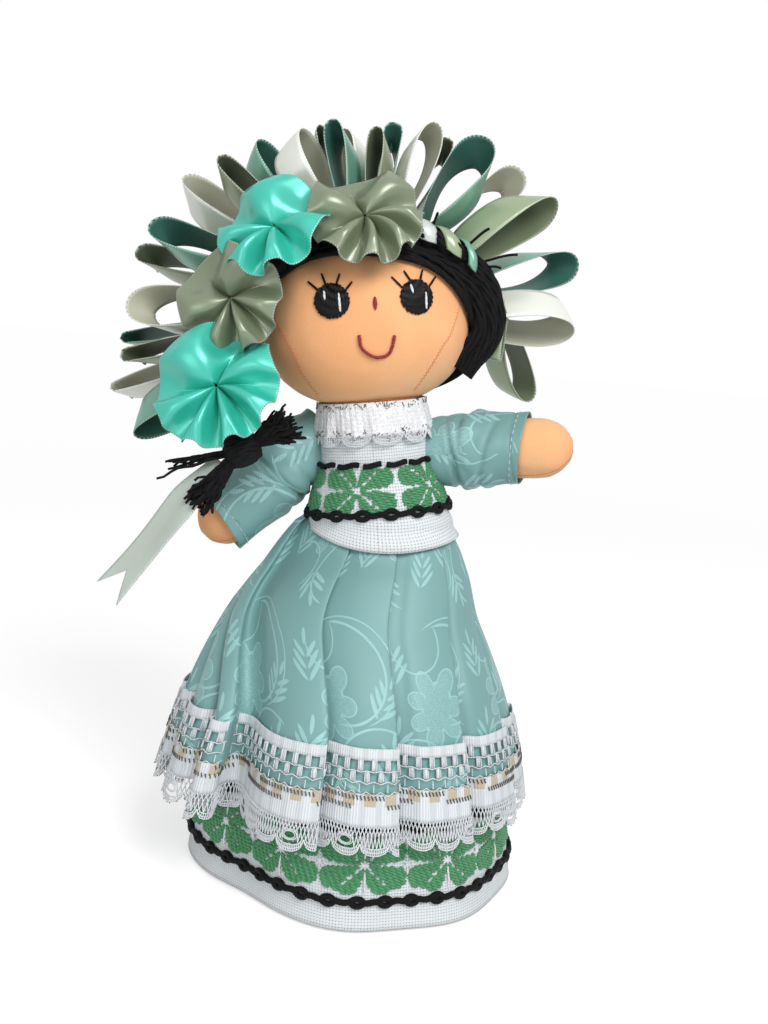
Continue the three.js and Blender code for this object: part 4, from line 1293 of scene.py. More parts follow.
eyes = []
for side, middle, lashes, lights in (
    ("right", (-15.9, 241.3),
     (((-24, 249.2), (-20.3, 245.3)), ((-18.7, 251.8), (-17.6, 247.5)), ((-12, 251.3), (-13.7, 247.3)),
      ((-7.6, 248), (-10.6, 244.7))),
     (((-18.2, 244.9), (-18.1, 241.5)), ((-12.9, 243.7), (-12.8, 236.9)))),
    ("left", (17.2, 240.9),
     (((7.7, 249), (11.6, 244.6)), ((12.9, 251), (15.3, 246.9)), ((20.6, 251), (18.9, 246.4)),
      ((25.9, 248.2), (22.2, 244.1))),
     (((14.6, 245.4), (15.2, 242.1)), ((20.3, 242.2), (20.2, 236)))),
):
    disc = satin_disc(middle, EYE_RADIUS, 0.5, 68 if side == "right" else 112)
    lash_paths = [on_face(np.linspace(a, b, 5), 0.45) for a, b in lashes]
    light_paths = [on_face(np.linspace(a, b, 5), 1.9 - 0.02 * abs(a[0])) for a, b in lights]
    parts = [
        yarn_piece("disc", disc, 0.5, black_thread, sides=6),
        yarn_piece("lashes", lash_paths, (0.36, 0.44, 0.48, 0.48, 0.4), black_thread, sides=6),
        yarn_piece("lights", light_paths, (0.3, 0.5, 0.55, 0.5, 0.3), white_thread, sides=6),
    ]
    eyes.append(joined(f"eye_of_thread_{side}", parts))
print("eyes", [len(eye.data.polygons) for eye in eyes])

# %% Nose, mouth and seams
mouth_points = curve_through(
    [(-6.5, 227.6), (-6, 223.2), (-3.2, 220.1), (0.3, 218.7), (4.3, 219.6), (6.1, 222.5), (7.2, 226.7)], 6
)
mouth_paths = []
for start in range(0, len(mouth_points) - 4, 4):
    stitch = mouth_points[start : start + 6]
    arch = np.array([0, 0.3, 0.45, 0.45, 0.3, 0])[: len(stitch), None]
    mouth_paths.append(on_face(stitch, 0.35) + FACE_FRONT * arch)
mouth = yarn_piece("mouth_of_thread", mouth_paths, 0.66, red_thread, sides=7)
nose = yarn_piece(
    "nose_of_thread", [on_face(np.linspace((0.5, 241.8), (0.4, 236.9), 6), 0.5)],
    (0.35, 0.65, 0.85, 0.85, 0.6, 0.3), red_thread, sides=7,
)


def zigzag(points, pitch, swing):
    """A fine zigzag along a line of the face."""
    line = curve_through(points, 20)
    length = length_along(line)
    at = np.arange(0, length[-1], pitch / 2)
    middle = np.stack([np.interp(at, length, line[:, k]) for k in (0, 1)], -1)
    going = unit(np.gradient(middle, axis=0))
    side = np.stack([-going[:, 1], going[:, 0]], -1)
    return middle + side * (swing * np.where(np.arange(len(at)) % 2 == 0, 1, -1))[:, None]


seam_right = [(-39.3, 241.8), (-38, 236.4), (-34.1, 227.5), (-31.1, 220.4), (-28.9, 214.1), (-22.6, 204.6)]
seam_left = [(37.3, 240), (35.2, 234.4), (33.6, 230.8), (30.6, 225), (27, 220.8), (21.3, 212.2),
             (15.5, 204.1)]
seam_paths = [on_face(zigzag(seam, 1.5, 0.45), 0.05) for seam in (seam_right, seam_left)]
face_seams = yarn_piece("face_seams", seam_paths, 0.14, seam_thread, sides=5)
print("mouth stitches:", len(mouth_paths))

# %% [markdown]
# ## Arms and legs
# Each limb is a small cotton tube with a rounded end, stuffed and sewn on. The arms end in plain stubs.
# The legs are hidden by the skirts and end in flat felt shoes.

# %% Limbs
def limb(name, start, direction, table, length, place):
    """A round-ended tube along a direction from a table of radii."""
    start, direction = np.array(start), unit(direction)
    side = unit(np.cross(direction, [0.0, 0.0, 1.0] if abs(direction[2]) < 0.9 else [0.0, 1.0, 0.0]))
    up = np.cross(side, direction)
    end_radius = along_table(table, length)
    steps = np.concatenate(
        [np.linspace(table[0][0], length - end_radius, 16)[:-1],
         length - end_radius + end_radius * np.sin(np.linspace(0, math.pi / 2, 9))[:-1]]
    )
    radii = along_table(table, steps)
    beyond = np.clip((steps - (length - end_radius)) / end_radius, 0, 1)
    radii = radii * np.sqrt(1 - beyond**2)
    angle = np.arange(40) / 40 * 2 * math.pi
    ring = np.cos(angle)[:, None] * side - np.sin(angle)[:, None] * up
    rings = start + steps[:, None, None] * direction + radii[:, None, None] * ring
    return closed_form(
        name, rings, start + steps[0] * direction, start + length * direction, skin_cotton, place
    )


SHOULDERS = {"left": (36, 2, 177), "right": (-36, 2, 177)}
ARM_WAY = {"left": (0.966, -0.259, 0.0), "right": (-0.7745, -0.2667, -0.5736)}
arm_radius = [(-9, 11.0), (0, 12.2), (20, 12.5), (32, 13.1), (40, 12.2), (48, 10.6)]
arms, arm_seams = {}, {}
for side in ("left", "right"):
    arms[side] = limb(f"stuffed_arm_{side}", SHOULDERS[side], ARM_WAY[side], arm_radius, 48.0, UPPER)
    stuffed(arms[side], 0.8)
for side, seam_side in (("left", 1.0), ("right", -1.0)):
    arm_tree = BVHTree.FromObject(arms[side], bpy.context.evaluated_depsgraph_get())
    arm_way = unit(ARM_WAY[side])
    off = unit(unit(np.cross(arm_way, [0.0, -1.0, 0.0])) * seam_side + [0.0, -0.75, 0.0])
    seam_line = []
    for along_arm in np.linspace(14, 50, 30):
        reach = 14 * max(0.1, min(1.0, (51.5 - along_arm) / 9))
        near = placed(SHOULDERS[side] + along_arm * arm_way + reach * off, UPPER)
        touch, normal, _, _ = arm_tree.find_nearest(Vector(near * MM))
        seam_line.append(np.array(touch + normal * 0.05 * MM) / MM)
    arm_seams[side] = yarn_piece(f"arm_seam_{side}", [np.array(seam_line)], 0.13, seam_thread, sides=5)
legs = {}
leg_radius = [(-4, 11.5), (0, 12), (40, 10.5), (93, 9.5)]
for side, x in (("left", 15.0), ("right", -15.0)):
    legs[side] = limb(f"stuffed_leg_{side}", (x, 0, 112), (0, 0, -1), leg_radius, 93.0, DOLL)
    stuffed(legs[side], 0.6)
print("limbs", [piece.name for piece in (*arms.values(), *legs.values())])

# %% [markdown]
# ## Bodice, chains and collar
# The bodice is the same open cotton, wrapped round the torso and ended in a folded hem at the waist.
# Its two black lines and the petals between them are sewn on as on the skirt. The collar is gathered
# lace with dark metal thread in it and small scallops along its lower edge.

# %% Bodice
BODICE_LOW, BODICE_HIGH = 140.6, 199.5
BODICE_ROUND = 2 * math.pi * 27.5


def on_bodice(turn, height):
    return torso_place(turn, height, 1.3)


def wrapped_bodice(turn, level):
    """The cloth of the bodice: its hem is higher at the sides, and the fold there stands off a little."""
    sine = np.sin(2 * math.pi * turn)
    height = level + (5.8 * sine**2 - 4.4 * sine) * smooth_step((172 - level) / 31)
    tuck = 0.45 * np.sin(height * 0.75 + 3 * sine) * smooth_step((156 - height) / 8)
    return torso_place(turn, height, 1.6 + tuck + 1.7 * smooth_step((148 - height) / 6))


bodice_levels = np.linspace(BODICE_LOW, BODICE_HIGH, 50)
bodice = round_piece(
    "even_weave_bodice", wrapped_bodice, UPPER, 160, bodice_levels, BODICE_ROUND, bodice_levels,
    white_cotton, 0.6,
)
print("bodice", size_of(bodice))

# %% Bodice flowers and chains
bodice_flower = clover(0.9, 0.8, -14)
bodice_petals = []
for number in range(5):
    bodice_petals += sewn(
        on_bodice, bodice_flower, -0.045 + number / 5, 165.6, BODICE_ROUND * 0.93, 0.75, UPPER
    )
bodice_flowers = yarn_piece("bodice_flowers", bodice_petals, STITCH_THICKNESS, green_thread, sides=6)
bodice_chain_low = chain_piece(
    "bodice_chain_low", *chain_paths(on_bodice, 155.5, BODICE_ROUND, 1.25, UPPER), 1.25, 1.15
)
high_bars = []
for start, end in ((-0.23, -0.15), (-0.14, -0.115), (-0.1, -0.04), (-0.028, 0.02), (0.034, 0.09),
                   (0.1, 0.15), (0.16, 0.22)):
    across = np.linspace(start, end, 7)
    high_bars.append(lifted(on_bodice, across, 175.4 + 0.5 * np.sin(across * 90), 1.3, UPPER))
bodice_chain_high = chain_piece("bodice_chain_high", high_bars, [], 1.15, 0.9)
print("bodice flowers:", len(bodice_petals), "stitches")

# %% Finish: collar lace
collar_cloth, tree, shader = finish_of("collar lace")
collar_flat = flat_map(tree)
collar_cells = out_of(
    tree, "ShaderNodeTexVoronoi",
    {"Vector": vector_calc("MULTIPLY", collar_flat, (1.0, 0.6, 1.0)), "Scale": 1100.0, "Randomness": 0.55},
    "Distance", feature="DISTANCE_TO_EDGE",
)
collar_net_and_shade = rise(collar_cells, 0.04, 0.22)
collar_flecks = out_of(
    tree, "ShaderNodeTexNoise", {"Vector": collar_flat, "Scale": 520.0, "Detail": 2.0}, "Fac"
)
# The middles of the lace cells, its holes, are greyed: painted shade in the holes. The flecks are dark metal
# thread.
colour = mix_colour(collar_net_and_shade * 0.3, srgb("EEEFF2"), srgb("A7A9AE"))
colour = mix_colour(rise(collar_flecks, 0.74, 0.8), colour, srgb("8E8A88"))
connect(tree, shader, {"Base Color": colour, "Roughness": 0.65})
bump(shader, collar_net_and_shade, 0.12)
print("finish", collar_cloth.name)

# %% Collar lace
COLLAR_LOW, COLLAR_HIGH = 187.0, 200.6
COLLAR_ROUND = 150.0
COLLAR_SCALLOPS = 12


def on_collar(turn, height):
    """The collar stands off the neck and ripples more towards its lower edge."""
    share = np.clip((COLLAR_HIGH - height) / 14, 0, 1.3)
    angle = 2 * math.pi * turn
    ripple = share * (0.55 * np.sin(13 * angle) + 0.3 * np.sin(23 * angle + 1.0)) + 0.12 * np.sin(
        61 * angle + 0.4 * height
    )
    base = torso_place(turn, height, 3.3 + 0.4 * share)
    outward = np.stack([np.sin(angle), -np.cos(angle), 0 * angle], -1)
    return base + outward * ripple[..., None]


collar_levels = np.linspace(COLLAR_LOW, COLLAR_HIGH, 14)
collar = round_piece(
    "collar_lace_band", on_collar, UPPER, 360, collar_levels, COLLAR_ROUND, COLLAR_HIGH - collar_levels,
    collar_cloth, 0.35,
)
collar_edge_paths = []
for middle in np.arange(COLLAR_SCALLOPS) + 0.5:
    for half_width, drop in ((0.5, 4.0), (0.48, 3.1), (0.42, 1.9)):
        across, levels = scallop_arc(middle, half_width, drop, COLLAR_LOW + 0.4, 11)
        collar_edge_paths.append(lifted(on_collar, across / COLLAR_SCALLOPS, levels, 0.1, UPPER))
    for rung in np.linspace(-0.47, 0.47, 19):
        ends = [COLLAR_LOW + 0.5, COLLAR_LOW + 0.4 - 4.0 * math.sqrt(1 - abs(rung / 0.5) ** 2.3)]
        collar_edge_paths.append(lifted(on_collar, (middle + rung) / COLLAR_SCALLOPS, ends, 0.1, UPPER))
collar_edge = yarn_piece("collar_scallops", collar_edge_paths, 0.22, lace_thread, sides=4)
collar_random = np.random.default_rng(5)
fleck_paths = []
for _ in range(420):
    turn = collar_random.random()
    edge = collar_random.random() < 0.45
    spread = collar_random.normal() * (1.1 if edge else 1.6)
    arch = 2.6 * abs(math.cos(math.pi * COLLAR_SCALLOPS * turn))
    height = (COLLAR_HIGH - 1.2 if edge else COLLAR_LOW - 1.0 + arch) + spread * 0.6
    way = collar_random.normal(size=2) * 0.7
    fleck_paths.append(
        lifted(on_collar, [turn, turn + way[0] / COLLAR_ROUND], [height, height + way[1]], 0.25, UPPER)
    )
collar_fleck_threads = yarn_piece("collar_metal_flecks", fleck_paths, 0.16, metal_thread, sides=4)
print("collar scallops:", COLLAR_SCALLOPS)

# %% [markdown]
# ## Sleeves
# Each sleeve is a short tube of brocade with a stitched hem at its cuff. The seam at the shoulder pulls
# it into slanting creases. The creases are waves that fade out towards the cuff.

# %% Sleeves
SLEEVE_FROM = -20
SLEEVE_REACH = {"left": 27.0, "right": 38.0}
CREASE_RINGS = ((6.0, 4.5, 2.4, 3.2), (13.0, 3.5, 0.4, 1.0), (-3.0, 3.0, 4.0, 1.8))


def sleeve(side, reach, seed):
    """A brocade tube round an arm, with creases near the shoulder and a turned cuff."""
    direction = unit(ARM_WAY[side])
    across = unit(np.cross(direction, [0.0, 0.0, 1.0]))
    up = np.cross(across, direction)
    steps = np.concatenate([np.linspace(SLEEVE_FROM, reach - 4.4, 50), np.linspace(reach - 4.2, reach, 8)])
    columns = 120
    angle = np.arange(columns) / columns * 2 * math.pi
    step_grid, angle_grid = np.meshgrid(steps, angle, indexing="ij")
    share = np.clip((step_grid + 13) / (reach + 13), 0, 1)
    radius = along_table(
        [(SLEEVE_FROM, 10.5), (-16, 12.0), (-12, 13.6), (-4, 14.6), (4, 15.6), (12, 15.4), (reach - 5, 14.6),
         (reach, 14.8)],
        step_grid,
    )
    generator = np.random.default_rng(seed)
    for number in range(9):
        slant = generator.uniform(-0.4, 0.4)
        around = generator.integers(2, 6)
        phase = generator.uniform(0, 2 * math.pi)
        size = generator.uniform(0.3, 0.7)
        crease = np.abs(np.sin((around * angle_grid + slant * step_grid + phase) / 2))
        crease_from = generator.uniform(0.0, 0.35)
        fade = np.exp(-(((share - crease_from - 0.25) / 0.3) ** 2))
        radius = radius + size * fade * (1.3 * crease**0.7 - 0.8)
    for middle, tilt, phase, deep in CREASE_RINGS:
        at = step_grid - middle - tilt * np.sin(angle_grid + phase + seed)
        round_share = 0.55 + 0.45 * np.sin(angle_grid + 1.7 * phase)
        radius = radius - deep * round_share * np.exp(-((at / 1.15) ** 2))
        radius = radius + 0.35 * deep * round_share * np.exp(-(((at - 3.6) / 2.2) ** 2))
    radius = radius + 0.35 * np.sin(5 * angle_grid + seed) * share
    step_grid = step_grid - (2.6 if side == "left" else -1.5) * np.sin(angle_grid) * share**2
    cuff = (step_grid > reach - 4.1) & (step_grid < reach - 3.3)
    radius = np.maximum(radius - 0.35 * cuff, along_table(arm_radius, step_grid) + 0.9)
    ring = np.cos(angle_grid)[..., None] * across - np.sin(angle_grid)[..., None] * up
    points = np.array(SHOULDERS[side]) + step_grid[..., None] * direction + radius[..., None] * ring
    made = grid_piece(
        f"brocade_sleeve_{side}", placed(points, UPPER), np.arange(columns + 1) / columns * 92.0 + 7 * seed,
        (steps + 40.0 * seed)[:, None], [brocade], 0.45, closed=True,
    )
    return made, points[int(np.argmin(np.abs(steps - (reach - 3.7))))]


sleeves, hem_stitches = {}, {}
for side, seed in (("left", 3), ("right", 8)):
    sleeves[side], hem_row = sleeve(side, SLEEVE_REACH[side], seed)
    hem_row = placed(hem_row + 0.3 * unit(hem_row - hem_row.mean(axis=0)), UPPER)
    stitches = [hem_row[start : start + 3] for start in range(0, 117, 4)]
    hem_stitches[side] = yarn_piece(f"cuff_stitches_{side}", stitches, 0.16, lace_thread, sides=4)
print("sleeves", [piece.name for piece in sleeves.values()])

# %% [markdown]
# ## Shoes
# Flat felt slippers under the skirt: a rounded sole with a low upper, made as rings that close in
# towards the top.

# %% Shoes
SOLE, SHOE_MIDDLE = 3.0, -5.5
shoe_table = ((0.9, 3.0), (0.99, 4.2), (1.0, 6.5), (0.95, 10), (0.8, 13.5), (0.6, 16.5), (0.4, 18.2))
shoes = {}
around = np.arange(36) / 36 * 2 * math.pi
for side, x in (("left", 15.0), ("right", -15.0)):
    shoe_rings = np.array([
        np.stack([x + 10.3 * share * np.sin(around), SHOE_MIDDLE - 16.7 * share * np.cos(around),
                  level + 0 * around], -1)
        for share, level in shoe_table
    ])
    shoes[side] = closed_form(
        f"felt_shoe_{side}", shoe_rings, (x, SHOE_MIDDLE, SOLE), (x, SHOE_MIDDLE, 18.4), black_felt, DOLL
    )
print("shoes", [piece.name for piece in shoes.values()])

# %% [markdown]
# ## Yarn hair
# The hair is black yarn laid over the head from ear to ear, row behind row, so every strand is an arch.
# The arches fan out from a point by each ear. Each one is found where a tilted plane through the two
# points cuts the head, a little above the cotton. A braid of thicker bundles crowns it.

# %% Arches of yarn over the head
hair_random = np.random.default_rng(11)
EAR_AXIS = unit(np.array([math.cos(math.radians(14)), 0.0, -math.sin(math.radians(14))]))
EAR_UP = np.array([-EAR_AXIS[2], 0.0, EAR_AXIS[0]])
HAIR_MIDDLE = np.array([0.0, 0.0, 224.0])


def on_hair(directions, grow):
    """Where rays from the middle of the head leave the head grown by a layer."""
    near, far = np.zeros(len(directions)), np.full(len(directions), 90.0)
    for _ in range(40):
        at = (near + far) / 2
        p = HAIR_MIDDLE + directions * at[:, None]
        wide_at, deep_at = HEAD_WIDE + grow, HEAD_DEEP + grow
        reach = np.where(p[:, 2] >= HEAD_MIDDLE, HEAD_RISE, HEAD_DROP) + grow
        inside = (
            np.hypot(p[:, 0], p[:, 1] * wide_at / deep_at) / wide_at
        ) ** HEAD_SQUARE + (np.abs(p[:, 2] - HEAD_MIDDLE) / reach) ** HEAD_SQUARE < 1
        near, far = np.where(inside, at, near), np.where(inside, far, at)
    return HAIR_MIDDLE + directions * near[:, None]


STRANDS = 72
hair_paths = []
for strand in range(STRANDS):
    tilt = math.radians(54.0 + 172.0 * strand / (STRANDS - 1))
    forward = np.array([0.0, -math.cos(tilt), 0.0]) + math.sin(tilt) * EAR_UP
    fan = np.radians(np.linspace(3, 177, 64))
    wander = math.radians(1.1) * np.sin(fan * 5 + hair_random.uniform(0, 6)) * np.sin(fan)
    sideways = np.cos(fan)[:, None] * -EAR_AXIS + np.sin(fan)[:, None] * forward
    turned = unit(sideways + wander[:, None] * np.cross(EAR_AXIS, forward))
    grow = 1.25 + 0.5 * hair_random.random() + 1.6 * (1 - np.sin(fan)) * ((strand % 3) / 2)
    hair_paths.append(placed(on_hair(turned, grow), HEAD))
hair_strands = yarn_piece("hair_strands", hair_paths, 1.3, black_yarn, sides=7)
cap_turn, cap_level = np.meshgrid(np.arange(96) / 96 * 2 * math.pi, np.linspace(-0.985, 0.985, 60))
cap_heights = HEAD_MIDDLE + np.where(cap_level > 0, HEAD_RISE + 0.8, HEAD_DROP + 0.8) * cap_level
cap_wide, cap_deep = head_ring(cap_heights, 0.8)
cap_points = np.stack([cap_wide * np.sin(cap_turn), -cap_deep * np.cos(cap_turn), cap_heights], -1)
cap_faces, _, _ = grid_faces(60, 96, True)
cap_middles = cap_points.reshape(-1, 3)[cap_faces].mean(axis=1) - HAIR_MIDDLE
cap_tilt = np.degrees(np.arctan2(cap_middles @ EAR_UP, -cap_middles[:, 1]))
behind = (np.mod(cap_tilt, 360) > 60) & (np.mod(cap_tilt, 360) < 224)
hair_base = mesh_piece(
    "hair_base", placed(cap_points.reshape(-1, 3), HEAD), cap_faces[behind], [black_yarn]
)
hair_yarn = joined("hair_yarn", [hair_strands, hair_base])
print("hair strands:", STRANDS)


# %% Braids: three bundles that cross
def crown_place(angle):
    """The line of the crown braid over the head; angle is in degrees, ninety at the top."""
    angle = np.radians(np.asarray(angle, float))
    return np.stack(
        [51.4 * np.cos(angle) - 4.5 * smooth_step((-angle - 0.1) / 0.45), -10 - 8 * np.sin(angle),
         231 + 38.5 * np.sin(angle)], -1,
    )


def strand_lines(line, outward, width, depth, pitch, calm):
    """The middle lines of the three bundles, and the directions beside and out of the braid.

    Outward is a rough direction at each point; calm straightens the bundles, from nought to one.
    """
    going = unit(np.gradient(line, axis=0))
    side = unit(np.cross(going, outward))
    out = unit(np.cross(side, going))
    length = length_along(line)
    lines = []
    for number in range(3):
        phase = 2 * math.pi * (length / pitch + number / 3)
        fixed = 2 * math.pi * number / 3
        x = width * ((1 - calm) * np.sin(phase) + calm * 0.7 * np.sin(fixed))
        y = depth * ((1 - calm) * np.sin(2 * phase) + calm * 1.2 * np.cos(fixed))
        lines.append(line + x[:, None] * side + y[:, None] * out)
    return lines, side, out, length


def bundle(line, side, out, length, yarns, spread, twist, seed):
    """Yarns laid round a middle line of the head's frame with a slow twist."""
    made = []
    generator = np.random.default_rng(seed)
    for number in range(yarns):
        turn = 2 * math.pi * (number / max(1, yarns - 1) + length / twist)
        rough = 1 + 0.12 * np.sin(length * 0.31 + generator.uniform(0, 6))
        far = rough * (spread if number else 0.0)
        made.append(
            placed(line + (far * np.cos(turn))[:, None] * side + (far * np.sin(turn))[:, None] * out, HEAD)
        )
    return made


def out_of_head(line):
    return unit(line - np.array([0.0, 4.0, 231.0]))


crown_angles = np.linspace(167, -34, 170)
crown_line = crown_place(crown_angles)
crown_calm = smooth_step((52 - crown_angles) / 22)
crown_lines, crown_side, crown_out, crown_length = strand_lines(
    crown_line, out_of_head(crown_line), 3.3, 1.5, 24.0, crown_calm
)
crown_yarns = []
for number, line in enumerate(crown_lines):
    crown_yarns += bundle(line, crown_side, crown_out, crown_length, 9, 1.9, 60.0, 20 + number)
right_part = crown_angles < 78
for number, (inward, beside) in enumerate(((3.6, -2.4), (3.6, 2.4), (6.4, 0.0), (5.5, 4.6))):
    under_line = crown_line - inward * crown_out + beside * crown_side
    crown_yarns += bundle(
        under_line[right_part], crown_side[right_part], crown_out[right_part], crown_length[right_part],
        7, 1.7, 90.0, 50 + number,
    )
crown_braid = yarn_piece("crown_braid_yarn", crown_yarns, 0.95, black_yarn, sides=7)
print("crown braid:", len(crown_yarns), "yarns")

# %% Ribbon woven into the crown braid
def woven_ribbon(name, at, broad, slant, satins):
    """A ribbon that crosses over the braid on a slant; its ends go in between the yarns."""
    sweep, over = np.meshgrid(np.linspace(-1.5, 1.5, 25), np.linspace(-0.5, 0.5, 7), indexing="ij")
    spot = at + slant * sweep + broad * over

    def read(table):
        return np.stack([np.interp(spot, np.arange(len(table)), table[:, k]) for k in range(3)], -1)

    swell = 1 + 0.1 * np.cos(over * 5)
    points = (
        read(crown_line) + (6.0 * swell * np.sin(sweep))[..., None] * read(crown_side)
        + (5.2 * swell * np.cos(sweep) - 0.3)[..., None] * read(crown_out)
    )
    return grid_piece(
        name, placed(points, HEAD)[::-1], sweep * 6 + 12, (over + 0.5) * broad * 1.1 + 0.8, satins, 0.3
    )


woven = [
    woven_ribbon("woven_white_ribbon", 86.5, 7.5, 1.4, tail_satin),
    woven_ribbon("woven_sage_ribbon", 96.0, 8.0, 3.2, loop_satin["sage"]),
    woven_ribbon("woven_green_ribbon", 105.5, 5.5, 4.0, loop_satin["green"]),
]
print("woven ribbons:", len(woven))

# %% Side braid, its knot and tassels
side_points = crown_place(167) + np.array(
    [(0, 0, 0), (-4.05, -1.47, -16.74), (-9.5, -11.55, -36.0), (-4.6, -20.5, -53.0)]
)
side_line = curve_through(side_points, 22)
side_lines, side_side, side_out, side_length = strand_lines(
    side_line, np.broadcast_to([-0.45, -0.85, 0.0], side_line.shape), 4.0, 1.8, 25.0, 0.0
)
side_yarns = []
for number, line in enumerate(side_lines):
    side_yarns += bundle(line, side_side, side_out, side_length, 7, 1.9, 30.0, 30 + number)
KNOT = side_points[-1]
knot_way = unit(side_line[-1] - side_line[-6])
knot_side = unit(np.cross(knot_way, [0.0, -1.0, 0.0]))
knot_out = unit(np.cross(knot_side, knot_way))
knot_turns = np.linspace(0, 2 * math.pi * 5.5, 150)
knot_radius = 5.6 + 0.8 * np.sin(np.linspace(0, math.pi, 150))
knot_line = (
    KNOT + (knot_radius * np.cos(knot_turns))[:, None] * knot_side
    + (knot_radius * 0.9 * np.sin(knot_turns))[:, None] * knot_out
    + np.linspace(-4.5, 4.5, 150)[:, None] * knot_way
)
side_yarns.append(placed(knot_line, HEAD))
core = np.linspace(-5, 5, 8)[:, None] * knot_way + KNOT
side_braid = joined(
    "side_braid_yarn",
    [yarn_piece("braid", side_yarns, 1.15, black_yarn, sides=7),
     yarn_piece("core", [placed(core, HEAD)], 5.2, black_yarn, sides=14)],
)


def tassel(name, direction, count, length, spread, seed):
    """Loose yarn ends that leave the knot together and fan out, each with its own kink."""
    generator = np.random.default_rng(seed)
    direction = unit(direction)
    across = unit(np.cross(direction, [0.0, 1.0, 0.0]))
    over = np.cross(across, direction)
    paths, thick = [], []
    for _ in range(count):
        turn, far = generator.uniform(0, 2 * math.pi), math.sqrt(generator.random())
        own = length * generator.uniform(0.72, 1.12)
        t = np.linspace(0, 1, 12)
        fan = (1.5 + spread * far * t**1.3)[:, None] * (
            math.cos(turn) * across + math.sin(turn) * over * 0.7
        )
        kink = 0.9 * np.sin(t * generator.uniform(8, 15) + generator.uniform(0, 6))[:, None] * (
            generator.normal() * across + generator.normal() * over
        ) * t[:, None]
        line = KNOT + direction * 3 + t[:, None] * own * direction + fan * far + kink
        line[:, 2] -= 1.5 * t**2
        paths.append(placed(line, HEAD))
        thick.append(np.linspace(0.75, 0.5, 12))
    return yarn_piece(name, paths, thick, black_yarn, sides=6)


tassels = [
    tassel("tassel_yarn_upper", (0.87, -0.12, 0.5), 95, 19.5, 7.5, 41),
    tassel("tassel_yarn_lower", (-0.74, -0.2, -0.62), 80, 23.0, 5.0, 42),
]
loose_ends = tassel("loose_yarn_ends", (-0.98, -0.12, -0.04), 7, 28.0, 6.0, 43)
stray_paths = []
t = np.linspace(0, 1, 9)[:, None]
for start, way, reach in (
    ((41, -14, 260), (0.72, -0.4, 0.5), 11), ((45, -14, 253), (0.93, -0.3, 0.12), 16),
    ((45, -14, 251), (0.97, -0.25, -0.1), 9), ((27, -16, 268), (0.3, -0.5, 0.8), 6),
):
    bow = np.array([0.4, -0.6, 1.2]) * np.sin(3 * t) * t
    stray_paths.append(placed(np.array(start) + t * reach * unit(way) + bow, HEAD))
stray_ends = yarn_piece("stray_yarn_ends", stray_paths, 0.6, black_yarn, sides=6)
print("side braid and", len(tassels), "tassels")

# %% [markdown]
# ## Standing ribbon loops
# The headdress is short lengths of 15 mm satin ribbon. Each is bent into a loop with its ends together
# and sewn into the hair, one beside the next. A loop is a drop-shaped line with the ribbon's width laid
# across it. Most loops are turned about their own length, and the ribbon opens like a cone where it
# turns over, so the bright face and the back both show; the back is duller, and darker still as painted
# shade. Every loop has its own half width, turn and cone, as hand-bent ribbon has.

# %% Loops of the headdress
LOOP_MIDDLE = np.array([0.0, 0.0, 237.0])
REACH = 90.0


def loop_strip(angle, reach, half_width, turn, row, cone=0.0, root=38.0, width=LOOP_WIDTH, bend=0.0,
               start=(0.0, 0.0)):
    """Rows of points along a loop, across its width; angle, turn, cone and bend are in degrees."""
    angle, turn, cone, bend = (math.radians(v) for v in (angle, turn, cone, bend))
    out = np.array([math.cos(angle), 0.0, math.sin(angle)])
    round_way = np.array([-math.sin(angle), 0.0, math.cos(angle)])
    back = np.array([0.0, 1.0, 0.0])
    t = np.linspace(0, 1, 61)
    far = (1 - np.cos(2 * math.pi * t)) / 2
    sideways = np.sin(2 * math.pi * t) * far**0.5 * 1.28
    length = reach - root - 0.5 * width * math.sin(abs(cone))
    lateral = math.cos(turn) * round_way + math.sin(turn) * back
    opening = (cone * smooth_step(far * 1.15))[:, None]
    across = -math.sin(turn) * round_way + math.cos(turn) * back
    across = np.cos(opening) * across - np.sin(opening) * out
    middle = (
        LOOP_MIDDLE + [start[0], row, start[1]] + (root + length * far)[:, None] * out
        + (half_width * sideways)[:, None] * lateral
        + (length * math.tan(bend) * far**2)[:, None] * round_way
        + (0.16 * length * math.sin(cone) * far**1.5)[:, None] * back
    )
    going = unit(np.gradient(middle, axis=0))
    across = unit(across - (across * going).sum(-1, keepdims=True) * going)
    pinch = 0.55 + 0.45 * smooth_step(far / 0.3)
    share = np.linspace(-0.5, 0.5, 9)
    cup = 0.5 * (1 - 4 * share**2)
    normal = np.cross(going, across)
    points = (
        middle[:, None] + (share * width)[None, :, None] * across[:, None] * pinch[:, None, None]
        + cup[None, :, None] * normal[:, None]
    )
    return points, length_along(middle)


